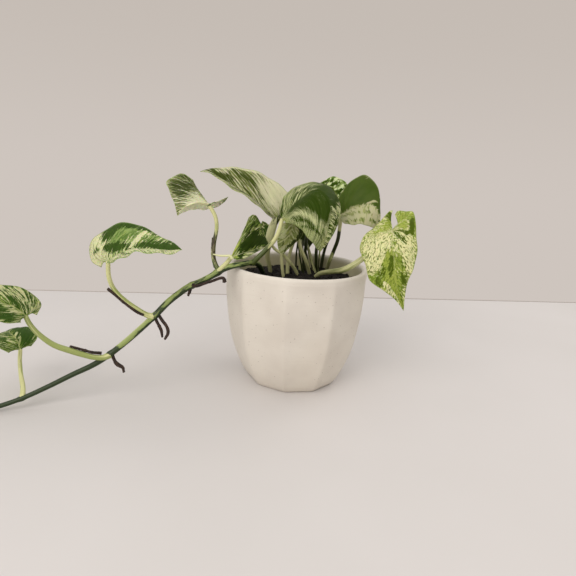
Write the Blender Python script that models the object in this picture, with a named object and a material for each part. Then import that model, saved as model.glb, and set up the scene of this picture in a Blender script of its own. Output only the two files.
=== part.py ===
"""A marbled pothos in a faceted stoneware pot, with one vine that trails over the rim to the left.

Metres, +Z up, -Y towards the viewer. The origin is the centre of the pot's foot.
"""

import math

import bmesh
import bpy
import numpy as np

MM = 0.001

# Pot, in millimetres
FACETS = 10
FACET_TURN = math.radians(-8.4)
SEGMENTS = 50
POT_HEIGHT = 103.4
FLOOR_HEIGHT = 7.0
# height, corner radius, share of the facets in the round
POT_OUTSIDE = [
    (0.0, 38.6, 1), (0.9, 40.0, 1), (8, 44.8, 1), (20, 50.2, 1), (36, 55.5, 1), (58, 59.5, 1),
    (80, 61.5, 1), (92, 61.3, 0.8), (99, 60.7, 0.35), (102.3, 59.9, 0.1), (POT_HEIGHT, 58.4, 0),
]
# height, radius
POT_INSIDE = [
    (POT_HEIGHT, 56.9), (102.5, 55.5), (99, 54.9), (80, 53.3), (58, 51.4), (36, 47.2), (20, 41.8),
    (11, 36.0), (FLOOR_HEIGHT, 30.0),
]

# Clearance between pieces that touch
GAP = 0.3
HOLE_GAP = 0.45
SEAT_GAP = 0.45

# Soil
SOIL_HEIGHT = 90.0
SOIL_EDGE = 0.7
SOIL_TOP_RINGS = (42, 30, 17)
LUMP = 0.9
STEM_DEPTH = 84.0
STEM_FOOT = 0.5

# Blades: thickness, rows and columns of each half, share of the margin that fans out from the petiole
BLADE = 0.7
ROWS = 11
COLUMNS = 3
FAN = 0.3
RIPPLES = 9

# Stems and curves
STEM_SIDES = 7
VINE_SIDES = 8
ROOT_SIDES = 6
VINE_IN_SOIL = 4
CURVE_STEPS = 200
SPAN_STEPS = 24

# Each leaf: midrib from the petiole to the tip, then the left and right margins between those ends,
# as seen from the petiole with the upper face up. Then the bulge of each half, the height of the waves,
# and for some the seat, which is how far below the blade its petiole stops.
LEAVES = {
    "leaf_far_left": dict(
        mid=[(-140, -63, 109), (-132, -64, 115), (-122, -66, 119), (-107, -70, 121), (-93, -74, 122),
             (-82, -78, 124)],
        left=[(-147, -58, 103), (-156, -53, 106), (-159, -50, 114), (-157, -48, 121), (-151, -47, 127),
              (-142, -47, 133), (-132, -48, 136), (-118, -52, 135), (-105, -58, 130), (-91, -68, 127)],
        right=[(-138, -70, 109), (-129, -82, 113), (-117, -89, 119), (-108, -92, 123), (-97, -92, 123),
               (-87, -86, 122)],
        bulge=(0.06, 0.06), wave=0.8, color=(0.17, 0.36, 0.10)),
    "leaf_upturned_left": dict(
        mid=[(-73, -30, 152), (-80, -36, 153), (-86, -43, 151), (-90, -48, 148), (-92, -51, 144)],
        left=[(-83, -40, 170), (-89, -44, 174), (-93, -48, 173), (-99, -53, 168), (-97, -54, 162),
              (-95, -54, 157), (-93, -53, 151)],
        right=[(-61, -8, 157), (-65, -4, 152), (-73, -4, 147), (-80, -14, 146),
               (-85, -28, 147), (-89, -42, 146)],
        bulge=(0.06, -0.02), wave=0.4, seat=1.0, color=(0.33, 0.43, 0.24)),
    "leaf_long_top": dict(
        mid=[(-21, 0, 141), (-32, -4, 149), (-43, -8, 158), (-56, -12, 165), (-69, -15, 173),
             (-77, -17, 177), (-82, -18, 176)],
        left=[(-23, -9, 141), (-29, -20, 147), (-38, -28, 155), (-47, -31, 161), (-57, -31, 166),
              (-65, -29, 171), (-73, -24, 175)],
        right=[(-15, 8, 144), (-9, 15, 152), (-10, 18, 159), (-15, 18, 164), (-21, 17, 169),
               (-30, 14, 174), (-38, 10, 178), (-48, 5, 180), (-57, 0, 181), (-65, -6, 180),
               (-74, -12, 179)],
        bulge=(0.06, 0.06), wave=0.5, seat=1.4, color=(0.42, 0.50, 0.28)),
    "leaf_centre": dict(
        mid=[(-16, -20, 143), (-9, -22, 153), (-1, -26, 161), (9, -32, 167), (17, -38, 164),
             (21, -43, 156), (20, -47, 143), (18, -49, 132), (15, -48, 123)],
        left=[(-18, -14, 146), (-17, -7, 152), (-16, 0, 159), (-9, 4, 166), (-1, 6, 170), (7, 4, 173),
              (14, 0, 172), (22, -8, 169), (27, -18, 164), (29, -26, 157), (29, -32, 151),
              (27, -40, 142), (21, -46, 131)],
        right=[(-12, -30, 141), (-7, -42, 142), (-1, -52, 140), (4, -56, 135), (9, -55, 130),
               (12, -51, 126)],
        bulge=(0.08, 0.1), wave=0.5, fan=0.0, color=(0.20, 0.36, 0.11)),
    "leaf_right_rear": dict(
        mid=[(34, 6, 147), (41, 4, 152), (50, 2, 156), (57, -1, 157), (63, -4, 152), (64, -6, 138)],
        left=[(31, 10, 151), (31, 13, 159), (35, 15, 167), (42, 16, 176), (51, 15, 181),
              (58, 12, 178), (63, 8, 172), (65, 4, 164), (66, 1, 155), (66, -3, 145)],
        right=[(33, 2, 144), (36, -6, 141), (43, -12, 141), (50, -14, 142), (57, -12, 140)],
        bulge=(0.06, 0.06), wave=0.5, color=(0.24, 0.40, 0.13)),
    "leaf_hanging_right": dict(
        mid=[(69, -40, 141), (69, -47, 131), (71, -50, 119), (74, -51, 103), (83, -49, 81)],
        left=[(70.5, -35.5, 153), (73, -34, 156), (79, -34, 156), (84, -36, 156),
              (86, -40, 148), (87, -44, 137), (88, -47, 126), (86, -50, 115), (83, -51, 106),
              (82, -51, 94)],
        right=[(67, -31, 154), (64, -33, 153), (56, -38, 144),
               (49, -42, 138), (46, -44, 133), (45, -46, 126), (50, -49, 115), (54, -51, 104),
               (65, -52, 97), (75, -51, 90)],
        bulge=(0.06, 0.06), wave=0.7, fan=0.4, color=(0.55, 0.58, 0.28)),
    "leaf_back_small": dict(
        mid=[(41, 26, 144), (36, 27, 155), (31, 29, 162), (26, 32, 169), (15, 38, 171)],
        left=[(36, 22, 143), (28, 20, 148), (22, 21, 154), (17, 25, 161), (14, 31, 167)],
        right=[(45, 28, 146), (47, 30, 155), (44, 32, 165), (38, 34, 174), (28, 36, 178),
               (21, 37, 175)],
        bulge=(0.06, 0.06), wave=0.4, color=(0.33, 0.55, 0.13)),
    "leaf_low_left": dict(
        mid=[(-54, -36, 112), (-46, -32, 115), (-38, -24, 117), (-31, -16, 119), (-25, -10, 119)],
        left=[(-42, -24, 143), (-39, -20, 145), (-36, -16, 143), (-33, -12, 137), (-30, -9, 129),
              (-27, -8, 122)],
        right=[(-49, -38, 111), (-43, -36, 112), (-38, -29, 114), (-33, -20, 116)],
        bulge=(0.06, 0.04), wave=0.3, color=(0.33, 0.47, 0.16)),
    "leaf_inner_olive": dict(
        mid=[(-6, -2, 139), (-8, -5, 131), (-10, -7, 122), (-13, -8, 112)],
        left=[(-1, -1, 140), (3, -2, 134), (1, -5, 127), (-5, -7, 121), (-10, -8, 116)],
        right=[(-12, -4, 140), (-17, -6, 135), (-19, -8, 126), (-18, -9, 118), (-16, -9, 114)],
        bulge=(0.08, 0.08), wave=0.2, color=(0.40, 0.42, 0.20)),
    "leaf_inner_small": dict(
        mid=[(-25, 15, 116), (-28, 15, 123), (-31, 17, 129), (-34, 19, 136)],
        left=[(-29, 16, 117), (-34, 18, 123), (-36, 19, 129), (-35, 19, 133)],
        right=[(-24, 16, 126), (-27, 18, 132), (-31, 19, 135)],
        bulge=(0.08, 0.08), wave=0.2, color=(0.17, 0.31, 0.11)),
    "leaf_rear": dict(
        mid=[(7, 32, 136), (8, 39, 141), (9, 46, 137), (10, 50, 124), (10, 51, 107)],
        left=[(3, 28, 137), (-3, 30, 141), (-7, 36, 143), (-8, 43, 138), (-6, 48, 129), (-1, 51, 118),
              (5, 52, 111)],
        right=[(12, 29, 137), (18, 32, 141), (21, 38, 142), (21, 44, 137), (20, 49, 128), (16, 51, 118),
               (12, 52, 111)],
        bulge=(0.06, 0.06), wave=0.4, seat=1.3, color=(0.17, 0.31, 0.11)),
    "leaf_rear_right": dict(
        mid=[(37, 42, 142), (43, 48, 151), (50, 54, 156), (58, 60, 156), (66, 65, 150)],
        left=[(33, 47, 144), (34, 56, 150), (41, 65, 156), (51, 69, 158), (60, 69, 155)],
        right=[(40, 36, 143), (47, 36, 148), (56, 41, 152), (63, 49, 153), (66, 57, 152)],
        bulge=(0.08, 0.08), wave=0.5, color=(0.28, 0.45, 0.15)),
    "leaf_vine_outer": dict(
        mid=[(-187, -90, 73), (-193, -93, 80), (-204, -98, 85), (-217, -104, 86), (-229, -110, 82),
             (-238, -115, 74)],
        left=[(-186, -98, 71), (-190, -108, 74), (-200, -116, 79), (-213, -121, 81), (-227, -120, 78)],
        right=[(-183, -84, 72), (-184, -76, 78), (-192, -75, 86), (-204, -81, 92), (-217, -90, 93),
               (-229, -101, 87)],
        bulge=(0.08, 0.08), wave=0.7, color=(0.26, 0.42, 0.15)),
    "leaf_vine_low": dict(
        mid=[(-206, -70, 39), (-212, -64, 44), (-222, -56, 46), (-231, -48, 43), (-237, -42, 36)],
        left=[(-211, -76, 38), (-220, -75, 42), (-230, -67, 43), (-236, -56, 41)],
        right=[(-200, -66, 40), (-200, -57, 44), (-209, -48, 47), (-221, -43, 46), (-231, -42, 41)],
        bulge=(0.08, 0.08), wave=0.4, color=(0.33, 0.50, 0.17)),
}

# The trailing vine: centre line from the soil over the rim, down to the table and along it
VINE = [
    (-31, 18, 84), (-31.5, 8, 93), (-34, -14, 103.5), (-39, -27, 107.2), (-45, -36, 107.3),
    (-52.5, -39, 105.9), (-60, -40.5, 102.8), (-67, -42.5, 98.2), (-74.5, -45, 94), (-84, -48, 89.5),
    (-91.5, -50, 84), (-99.5, -53, 77), (-108, -56, 67.5), (-121, -61, 54.5), (-129, -64, 47),
    (-139, -68, 38.5), (-150.5, -71, 30.5), (-165, -76, 23.5), (-180, -82, 16), (-196, -89, 9),
    (-212, -96, 4.4), (-229, -104, 2.5), (-244, -110, 2.1), (-256, -114, 2.4), (-266, -117, 5),
]
VINE_RADII = [2.1, 2.2, 2.3, 2.4, 2.5, 2.5, 2.4, 2.2, 1.9, 1.7, 2.1, 0.5]

# Petioles that grow from the vine: leaf, points, radii
VINE_PETIOLES = [
    ("leaf_far_left", [(-109, -56.5, 66.5), (-114.5, -58, 68.5), (-120.5, -60, 73), (-129, -61, 79.5),
                       (-134.5, -62, 85.5), (-138, -62, 91), (-140, -62, 98.5)], (2.4, 2.0, 1.8, 1.7)),
    ("leaf_upturned_left", [(-62, -41, 101.5), (-65.5, -38, 106.5), (-67.5, -36, 112.5),
                            (-67.5, -34, 122.5), (-66, -32, 134), (-67.5, -31, 143)],
     (2.0, 1.7, 1.5, 1.5)),
    ("leaf_centre", [(-38, -26, 106.5), (-33, -27, 112), (-28, -26, 117.5), (-21, -24, 126),
                     (-17.5, -22, 134)], (2.4, 2.1, 1.9, 1.8)),
    ("leaf_low_left", [(-64, -42, 100.5), (-60, -42, 105), (-56.5, -39.5, 108.5)], (1.8, 1.8, 1.9)),
    ("leaf_vine_outer", [(-139, -68, 38), (-143.5, -71, 36.7), (-149, -74, 38), (-155.5, -77, 41),
                         (-162, -80, 44.5), (-172, -84, 50), (-180, -87, 58), (-185, -89, 66)],
     (2.3, 2.1, 2.3, 1.9, 1.7)),
    ("leaf_vine_low", [(-196, -89, 9), (-198, -84, 15), (-203, -77, 22), (-206, -72, 30)],
     (1.9, 1.5, 1.4)),
]

# Stems that stand in the soil: node, leaf or None, points, radii
SOIL_STEMS = [
    ("stem_long_top", "leaf_long_top",
     [(-24, 23, STEM_DEPTH), (-25, 17, 94), (-27.5, 10, 106.5), (-27, 6, 118.5), (-24.5, 3, 131)],
     (1.8, 1.8, 2.1, 3.2, 3.6, 2.6)),
    ("stem_right_rear", "leaf_right_rear",
     [(28, 42, STEM_DEPTH), (28, 37, 90), (28.5, 16, 104.5), (31, 14, 113.5), (33.5, 10, 124.5),
      (34, 8, 135)], (1.8, 1.7, 1.6, 1.6)),
    ("stem_hanging_right", "leaf_hanging_right",
     [(15, 22, STEM_DEPTH), (17, 12, 90), (20.5, -2, 96.5), (27.5, -20, 102.5), (34.5, -33, 107),
      (41, -37, 111.5), (48, -37, 117), (56, -37, 125), (63, -38, 134)], (1.9, 2.2, 2.4, 2.5, 2.1, 1.7)),
    ("stem_back_small", "leaf_back_small",
     [(18.5, 36, STEM_DEPTH), (17, 27, 101), (16.5, 25, 114), (21, 25, 126), (31, 25, 135)],
     (1.5, 1.4, 1.4)),
    ("stem_inner_olive", "leaf_inner_olive",
     [(13, 27, STEM_DEPTH), (10, 16, 95), (6.5, 5, 105.5), (2, 1, 115.5), (-1, 0, 124)],
     (1.6, 1.5, 1.4)),
    ("stem_inner_small", "leaf_inner_small",
     [(3, 19, STEM_DEPTH), (-2, 12, 95), (-8.5, 5, 104.5), (-14.5, 8, 109.5), (-20.5, 13, 112)],
     (1.6, 1.5, 1.3)),
    ("stem_rear", "leaf_rear",
     [(5.5, 34, STEM_DEPTH), (6, 34, 100), (6.5, 30, 112), (6.5, 27, 122)], (1.6, 1.5, 1.4)),
    ("stem_rear_right", "leaf_rear_right",
     [(23, 46, STEM_DEPTH), (24, 47, 98), (26, 45, 112), (30, 41, 126), (34, 40, 134)],
     (1.5, 1.4, 1.4)),
    ("shoot_pale", None,
     [(-11, 5, STEM_DEPTH), (-13.5, 1, 98), (-15, 1.5, 112), (-14, 4, 124), (-12, 6, 136),
      (-11, 7, 142)], (1.5, 1.4, 1.3, 1.3, 2.1, 0.5)),
    ("shoot_thick", None,
     [(-8.5, 11, STEM_DEPTH), (-9, 14, 100), (-7, 18, 112), (-4, 21, 124), (-1, 23, 134)],
     (1.7, 1.7, 1.5, 1.5, 2.2, 0.5)),
]

# Dried aerial roots at the vine's nodes: points from inside the vine, radii
ROOTS = {
    "aerial_root_long": ([(-80, -48, 91), (-77.5, -50.5, 89.6), (-71.5, -48.5, 92), (-66, -47, 94),
                          (-60.5, -46, 96.5), (-58, -46.4, 96.6), (-57, -46.6, 93.6)],
                         (0.9, 0.9, 0.8, 0.9, 1.0)),
    "aerial_root_spur": ([(-82.5, -47.5, 90), (-83.2, -48.8, 86), (-84.2, -49.4, 82.6)], (1.1, 0.9, 0.6)),
    "aerial_root_left": ([(-108.5, -56, 67), (-106.5, -56.6, 62.5), (-103.4, -57, 56.5),
                          (-102.4, -57, 50.5)], (1.0, 0.9, 0.9, 0.6)),
    "aerial_root_right": ([(-106, -55, 68), (-102.2, -55.6, 62.8), (-99, -56, 58.6), (-98, -57, 53.8),
                           (-100.4, -57.2, 49)], (1.0, 0.9, 1.0, 0.7)),
    "aerial_root_low": ([(-138, -67.5, 38.5), (-136, -68, 33.8), (-133.8, -68, 30.4),
                         (-130.2, -67.2, 27.8), (-129.4, -67, 23.6)], (1.1, 0.9, 1.2, 0.9, 0.7)),
}

# Dried sheath edges that lie along petioles: node, points, radii
SHEATHS = {
    "sheath_far_left": ([(-117.2, -60.4, 67.4), (-122, -62.2, 70.4), (-130.6, -63, 77),
                         (-136.4, -64, 83), (-140.4, -64.4, 88)], (0.9, 0.7, 0.6, 0.7)),
    "sheath_upturned": ([(-66.2, -35.4, 103.4), (-68.2, -33.4, 110), (-69.2, -32, 118),
                         (-69, -31.2, 126)], (0.9, 0.8, 0.6)),
    "sheath_outer": ([(-144.6, -70.6, 40), (-150, -73.4, 41.4), (-156, -76.4, 44.4),
                      (-163, -79.6, 48)], (0.9, 0.8, 0.6)),
}

COLORS = {
    "pot": ((0.72, 0.66, 0.58), 0.62),
    "soil": ((0.030, 0.024, 0.020), 0.95),
    "vine": ((0.27, 0.36, 0.11), 0.45),
    "stem": ((0.38, 0.44, 0.20), 0.48),
    "dry": ((0.065, 0.040, 0.028), 0.85),
}


def clear_scene():
    for obj in list(bpy.data.objects):
        bpy.data.objects.remove(obj, do_unlink=True)
    for mesh in list(bpy.data.meshes):
        bpy.data.meshes.remove(mesh)


def material(name, color, roughness):
    mat = bpy.data.materials.new(name)
    mat.use_nodes = True
    shader = mat.node_tree.nodes["Principled BSDF"]
    shader.inputs["Base Color"].default_value = (*color, 1.0)
    shader.inputs["Roughness"].default_value = roughness
    shader.inputs["Metallic"].default_value = 0.0
    mat.diffuse_color = (*color, 1.0)
    return mat


def mesh_object(name, points, faces, collection=None, origin=(0, 0, 0)):
    """An object whose points are given in millimetres, with its own origin."""
    mesh = bpy.data.meshes.new(name)
    shift = np.asarray(origin, float)
    scaled = (np.asarray(points, float) - shift) * MM
    mesh.from_pydata(scaled.tolist(), [], [tuple(int(i) for i in f) for f in faces])
    mesh.validate()
    obj = bpy.data.objects.new(name, mesh)
    obj.location = shift * MM
    (collection or bpy.context.scene.collection).objects.link(obj)
    return obj


def finish(obj, look, smooth=True):
    color, roughness = look
    obj.data.materials.clear()
    obj.data.materials.append(material(obj.name, color, roughness))
    if smooth:
        obj.data.shade_smooth()


def outward(obj):
    bm = bmesh.new()
    bm.from_mesh(obj.data)
    bmesh.ops.recalc_face_normals(bm, faces=bm.faces)
    bm.to_mesh(obj.data)
    bm.free()


def unit(v):
    v = np.asarray(v, float)
    return v / np.maximum(np.linalg.norm(v, axis=-1, keepdims=True), 1e-12)


def smooth_curve(points, steps):
    """A Catmull-Rom curve through the points, at steps + 1 places evenly along its length."""
    p = np.asarray(points, float)
    ends = np.vstack([2 * p[0] - p[1], p, 2 * p[-1] - p[-2]])
    t = np.linspace(0, 1, SPAN_STEPS, endpoint=False)[:, None]
    runs = []
    for a, b, c, d in zip(ends[:-3], ends[1:-2], ends[2:-1], ends[3:]):
        runs.append(0.5 * (2 * b + (c - a) * t + (2 * a - 5 * b + 4 * c - d) * t**2
                           + (3 * b - a - 3 * c + d) * t**3))
    fine = np.vstack(runs + [p[-1:]])
    along = np.r_[0, np.cumsum(np.linalg.norm(np.diff(fine[:, :3], axis=0), axis=1))]
    even = np.linspace(0, along[-1], steps + 1)
    return np.stack([np.interp(even, along, fine[:, k]) for k in range(fine.shape[1])], 1)


def at(curve, t):
    """The point of a curve at a share t of its length."""
    steps = np.linspace(0, 1, len(curve))
    return np.array([np.interp(t, steps, curve[:, k]) for k in range(curve.shape[1])])


def blade_sheet(leaf):
    """The blade's middle surface: points and triangles, upper face outward."""
    mid = smooth_curve(leaf["mid"], CURVE_STEPS)
    run = unit(np.gradient(mid, axis=0))
    points, faces, seen = [], [], {}

    def add(p):
        key = tuple(np.round(p, 3))
        if key not in seen:
            seen[key] = len(points)
            points.append(p)
        return seen[key]

    fan = leaf.get("fan", FAN)
    u = np.linspace(0, 1, ROWS + 1)
    foot = np.clip((u - fan) / (1 - fan), 0, 1)
    for side, bulge in zip((1, -1), leaf["bulge"]):
        inner = leaf["left"] if side > 0 else leaf["right"]
        edge = smooth_curve([*inner, leaf["mid"][-1]], CURVE_STEPS)
        rim_run = unit(np.gradient(edge, axis=0))
        normals = [side * np.cross(at(run, foot[i]), at(edge, u[i]) - at(mid, foot[i]))
                   for i in range(ROWS + 1)]
        normals[-1] = normals[-2]
        normals = unit(np.array(normals))
        normals[1:-1] = unit(normals[:-2] + 2 * normals[1:-1] + normals[2:])
        grid = np.empty((ROWS + 1, COLUMNS + 1), int)
        for i in range(ROWS + 1):
            rib, rim = at(mid, foot[i]), at(edge, u[i])
            spread = np.linalg.norm(np.cross(at(rim_run, u[i]), rim - rib))
            for j in range(COLUMNS + 1):
                v = j / COLUMNS
                dome = bulge * spread * 4 * v * (1 - v) * min(1, 4 * u[i])
                ripple = leaf["wave"] * v * v * math.sin(RIPPLES * math.pi * u[i] + side)
                ripple *= math.sin(math.pi * u[i])
                grid[i, j] = add(rib * (1 - v) + rim * v + normals[i] * (dome + ripple))
        for i in range(ROWS):
            for j in range(COLUMNS):
                a, b, c, d = grid[i, j], grid[i + 1, j], grid[i + 1, j + 1], grid[i, j + 1]
                for tri in ((a, b, c), (a, c, d)):
                    if len(set(tri)) == 3:
                        faces.append(tri if side > 0 else tri[::-1])
    return np.array(points), np.array(faces)


def sheet_normals(points, faces):
    """Normals at the points, each triangle weighted by its area."""
    total = np.zeros_like(points)
    cross = np.cross(points[faces[:, 1]] - points[faces[:, 0]], points[faces[:, 2]] - points[faces[:, 0]])
    for k in range(3):
        np.add.at(total, faces[:, k], cross)
    return unit(total)


def thicken(points, faces, thickness):
    """A closed blade, its two faces split into the same triangles."""
    normals = sheet_normals(points, faces)
    count = len(points)
    both = np.vstack([points + normals * thickness / 2, points - normals * thickness / 2])
    edges = {(a, b) for f in faces for a, b in ((f[0], f[1]), (f[1], f[2]), (f[2], f[0]))}
    rim = []
    for a, b in sorted(edges):
        if (b, a) not in edges:
            rim += [(a, a + count, b + count), (a, b + count, b)]
    return both, np.vstack([faces, faces[:, ::-1] + count, np.array(rim)])


def tube(points, radii, sides=STEM_SIDES, spacing=5.0, extra=0.0):
    """A closed tube along a smooth curve, its radius following radii from end to end."""
    path = np.asarray(points, float)
    share = np.linspace(0, 1, len(radii))
    radius = np.interp(np.linspace(0, 1, len(path)), share, radii)
    length = np.linalg.norm(np.diff(path, axis=0), axis=1).sum()
    steps = max(3, round(length / spacing))
    curve = smooth_curve(np.column_stack([path, radius]), steps)
    centre, r = curve[:, :3], curve[:, 3] + extra
    run = unit(np.gradient(centre, axis=0))
    across = unit(np.cross(run[0], (0, 1, 0) if abs(run[0][1]) < 0.9 else (1, 0, 0)))
    points, faces = [], []
    for c, t, size in zip(centre, run, r):
        across = unit(across - t * (across @ t))
        other = np.cross(t, across)
        for k in range(sides):
            turn = 2 * math.pi * k / sides
            points.append(c + size * (across * math.cos(turn) + other * math.sin(turn)))
    for i in range(steps):
        for k in range(sides):
            a, b = i * sides + k, i * sides + (k + 1) % sides
            faces += [(a, b, b + sides), (a, b + sides, a + sides)]
    faces.append(tuple(range(sides))[::-1])
    faces.append(tuple(steps * sides + k for k in range(sides)))
    return np.array(points), faces


def petiole_end(leaf, radius):
    """Where a petiole stops, just under the blade's attachment."""
    points, faces = blade_sheet(leaf)
    normals = sheet_normals(points, faces)
    start = np.asarray(leaf["mid"][0], float)
    nearest = np.argmin(np.linalg.norm(points - start, axis=1))
    seat = leaf.get("seat", radius + BLADE / 2 + SEAT_GAP)
    return start - normals[nearest] * seat


def join(base, collection_name, parts, operation="UNION"):
    """Joins or cuts the base with every object of a collection, then removes that collection."""
    helpers = bpy.data.collections.new(collection_name)
    bpy.context.scene.collection.children.link(helpers)
    for k, (points, faces) in enumerate(parts):
        helper = mesh_object(f"{collection_name}_{k}", points, faces, helpers)
        outward(helper)
        helper.hide_render = True
        helper.display_type = "WIRE"
    cut = base.modifiers.new(collection_name, "BOOLEAN")
    cut.operation = operation
    cut.operand_type = "COLLECTION"
    cut.collection = helpers
    cut.solver = "MANIFOLD"
    bpy.context.view_layer.update()
    graph = bpy.context.evaluated_depsgraph_get()
    made = bpy.data.meshes.new_from_object(base.evaluated_get(graph))
    base.modifiers.clear()
    base.data = made
    for obj in list(helpers.objects):
        bpy.data.objects.remove(obj, do_unlink=True)
    bpy.data.collections.remove(helpers)


def facet_radius(corner, share, turn):
    """Radius at an angle: flat between the corners, blended into the round by share."""
    half = math.pi / FACETS
    away = (turn - FACET_TURN) % (2 * half) - half
    flat = corner * math.cos(half) / math.cos(away)
    return share * flat + (1 - share) * corner


def ring(radius_at, z):
    turns = [2 * math.pi * k / SEGMENTS + FACET_TURN for k in range(SEGMENTS)]
    return [(radius_at(t) * math.sin(t), -radius_at(t) * math.cos(t), z) for t in turns]


def rings_solid(rings, bottom, top):
    """A closed solid from stacked rings, with a point at the centre of each end."""
    points = [p for r in rings for p in r] + [bottom, top]
    faces = []
    for i in range(len(rings) - 1):
        for k in range(SEGMENTS):
            a, b = i * SEGMENTS + k, i * SEGMENTS + (k + 1) % SEGMENTS
            faces += [(a, b, b + SEGMENTS, a + SEGMENTS)]
    low, high = len(points) - 2, len(points) - 1
    last = (len(rings) - 1) * SEGMENTS
    for k in range(SEGMENTS):
        faces.append((low, (k + 1) % SEGMENTS, k))
        faces.append((high, last + k, last + (k + 1) % SEGMENTS))
    return points, faces


def make_pot():
    rings = [ring(lambda t, c=c, s=s: facet_radius(c, s, t), z) for z, c, s in POT_OUTSIDE]
    rings += [ring(lambda t, r=r: r, z) for z, r in POT_INSIDE]
    points, faces = rings_solid(rings, (0, 0, 0), (0, 0, FLOOR_HEIGHT))
    pot = mesh_object("pot", points, faces)
    outward(pot)
    finish(pot, COLORS["pot"])


def inner_radius(z):
    heights = [h for h, r in reversed(POT_INSIDE)]
    radii = [r for h, r in reversed(POT_INSIDE)]
    return float(np.interp(z, heights, radii))


def lumps(x, y):
    """Height of the soil's lumps, which are about 20 and 10 mm long."""
    return LUMP * (math.sin(0.31 * x + 1.1) * math.cos(0.27 * y) + 0.6 * math.sin(0.53 * y - 0.4 * x))


def make_soil():
    rings = []
    walls = [z for z, _ in reversed(POT_INSIDE) if FLOOR_HEIGHT < z < SOIL_HEIGHT]
    for z in (FLOOR_HEIGHT + GAP, *walls, SOIL_HEIGHT):
        rings.append(ring(lambda t, r=inner_radius(z) - SOIL_EDGE: r, z))
    for r in SOIL_TOP_RINGS:
        circle = ring(lambda t, r=r: r, 0)
        rings.append([(x, y, SOIL_HEIGHT + lumps(x, y)) for x, y, _ in circle])
    points, faces = rings_solid(rings, (0, 0, FLOOR_HEIGHT + GAP), (0, 0, SOIL_HEIGHT + lumps(0, 0)))
    soil = mesh_object("soil", points, faces)
    outward(soil)
    holes = []
    for _, _, points, radii in SOIL_STEMS:
        holes.append(tube(deeper(points), radii, spacing=4.0, extra=HOLE_GAP))
    holes.append(tube(deeper(VINE[:VINE_IN_SOIL]), VINE_RADII[:3], spacing=4.0, extra=HOLE_GAP))
    join(soil, "soil_holes", holes, "DIFFERENCE")
    finish(soil, COLORS["soil"], smooth=False)


def deeper(points):
    """The same path with its foot a little lower, so that a hole is deeper than its stem."""
    first, second = np.asarray(points[0], float), np.asarray(points[1], float)
    return [tuple(first + STEM_FOOT * unit(first - second)), *points[1:]]


def vine_tubes(extra=0.0):
    """The vine and then its petioles."""
    tubes = [tube(VINE, VINE_RADII, sides=VINE_SIDES, spacing=6.0, extra=extra)]
    for leaf, points, radii in VINE_PETIOLES:
        end = petiole_end(LEAVES[leaf], radii[-1])
        tubes.append(tube([*points, end], radii, spacing=6.0, extra=extra))
    return tubes


def make_vine():
    stem, *petioles = vine_tubes()
    vine = mesh_object("trailing_vine", *stem)
    outward(vine)
    join(vine, "vine_petioles", petioles)
    finish(vine, COLORS["vine"])


def make_dry_pieces():
    for name, (points, radii) in ROOTS.items():
        root = mesh_object(name, *tube(points, radii, sides=ROOT_SIDES, spacing=3.0))
        outward(root)
        join(root, "vine_clearance", vine_tubes(extra=GAP), "DIFFERENCE")
        finish(root, COLORS["dry"])
    for name, (points, radii) in SHEATHS.items():
        sheath = mesh_object(name, *tube(points, radii, sides=ROOT_SIDES))
        outward(sheath)
        finish(sheath, COLORS["dry"])


def make_leaves():
    for name, leaf in LEAVES.items():
        points, faces = thicken(*blade_sheet(leaf), BLADE)
        blade = mesh_object(name, points, faces, origin=leaf["mid"][0])
        finish(blade, (leaf["color"], 0.42))


def make_stems():
    for name, leaf, points, radii in SOIL_STEMS:
        path = list(points)
        if leaf:
            path.append(petiole_end(LEAVES[leaf], radii[-1]))
        stem = mesh_object(name, *tube(path, radii), origin=points[0])
        outward(stem)
        finish(stem, COLORS["stem"])


def main():
    clear_scene()
    make_pot()
    make_soil()
    make_vine()
    make_dry_pieces()
    make_leaves()
    make_stems()


main()
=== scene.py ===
import math

import bpy
import numpy as np
from mathutils import Matrix, Vector, noise


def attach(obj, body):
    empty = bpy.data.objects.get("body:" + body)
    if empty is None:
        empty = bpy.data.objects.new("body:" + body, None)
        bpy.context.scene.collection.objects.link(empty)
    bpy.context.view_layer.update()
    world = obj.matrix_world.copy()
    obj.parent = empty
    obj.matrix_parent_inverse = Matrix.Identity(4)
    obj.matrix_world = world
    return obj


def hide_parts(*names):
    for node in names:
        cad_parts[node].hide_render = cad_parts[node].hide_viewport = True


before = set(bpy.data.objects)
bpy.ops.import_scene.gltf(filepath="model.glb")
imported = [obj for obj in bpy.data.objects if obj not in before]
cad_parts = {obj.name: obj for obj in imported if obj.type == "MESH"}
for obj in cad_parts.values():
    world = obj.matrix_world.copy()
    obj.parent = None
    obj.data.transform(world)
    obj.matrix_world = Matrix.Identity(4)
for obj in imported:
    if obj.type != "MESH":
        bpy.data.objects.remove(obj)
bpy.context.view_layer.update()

MM = 0.001

# Camera, as the photograph was taken: place in millimetres, angles in degrees
CAMERA_PLACE = (-7.5, -383.0, 181.0)
CAMERA_PITCH = 14.65
CAMERA_ROLL = 3.5
FRAME_PIXELS = 576
FOCAL_PIXELS = 449.6
SENSOR = 36.0

# Table top, in millimetres
TABLE_BACK = (93, 431)  # at the left and the right end
TABLE_REACH = 1200.0

# Pot, in millimetres, as in the solid
FACETS = 10
FACET_TURN = math.radians(-8.4)
POT_HEIGHT = 103.4
FLOOR_HEIGHT = 7.0
# Height, radius at the corners, and how far the wall is faceted rather than round
POT_OUTSIDE = [
    (0.0, 37.6, 1), (0.4, 38.9, 1), (1.3, 40.2, 1), (8, 44.8, 1), (20, 50.2, 1), (36, 55.5, 1), (58, 59.5, 1),
    (80, 61.5, 1), (92, 61.3, 0.8), (99, 60.7, 0.35), (102.3, 59.9, 0.1), (POT_HEIGHT, 58.4, 0),
]
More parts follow.
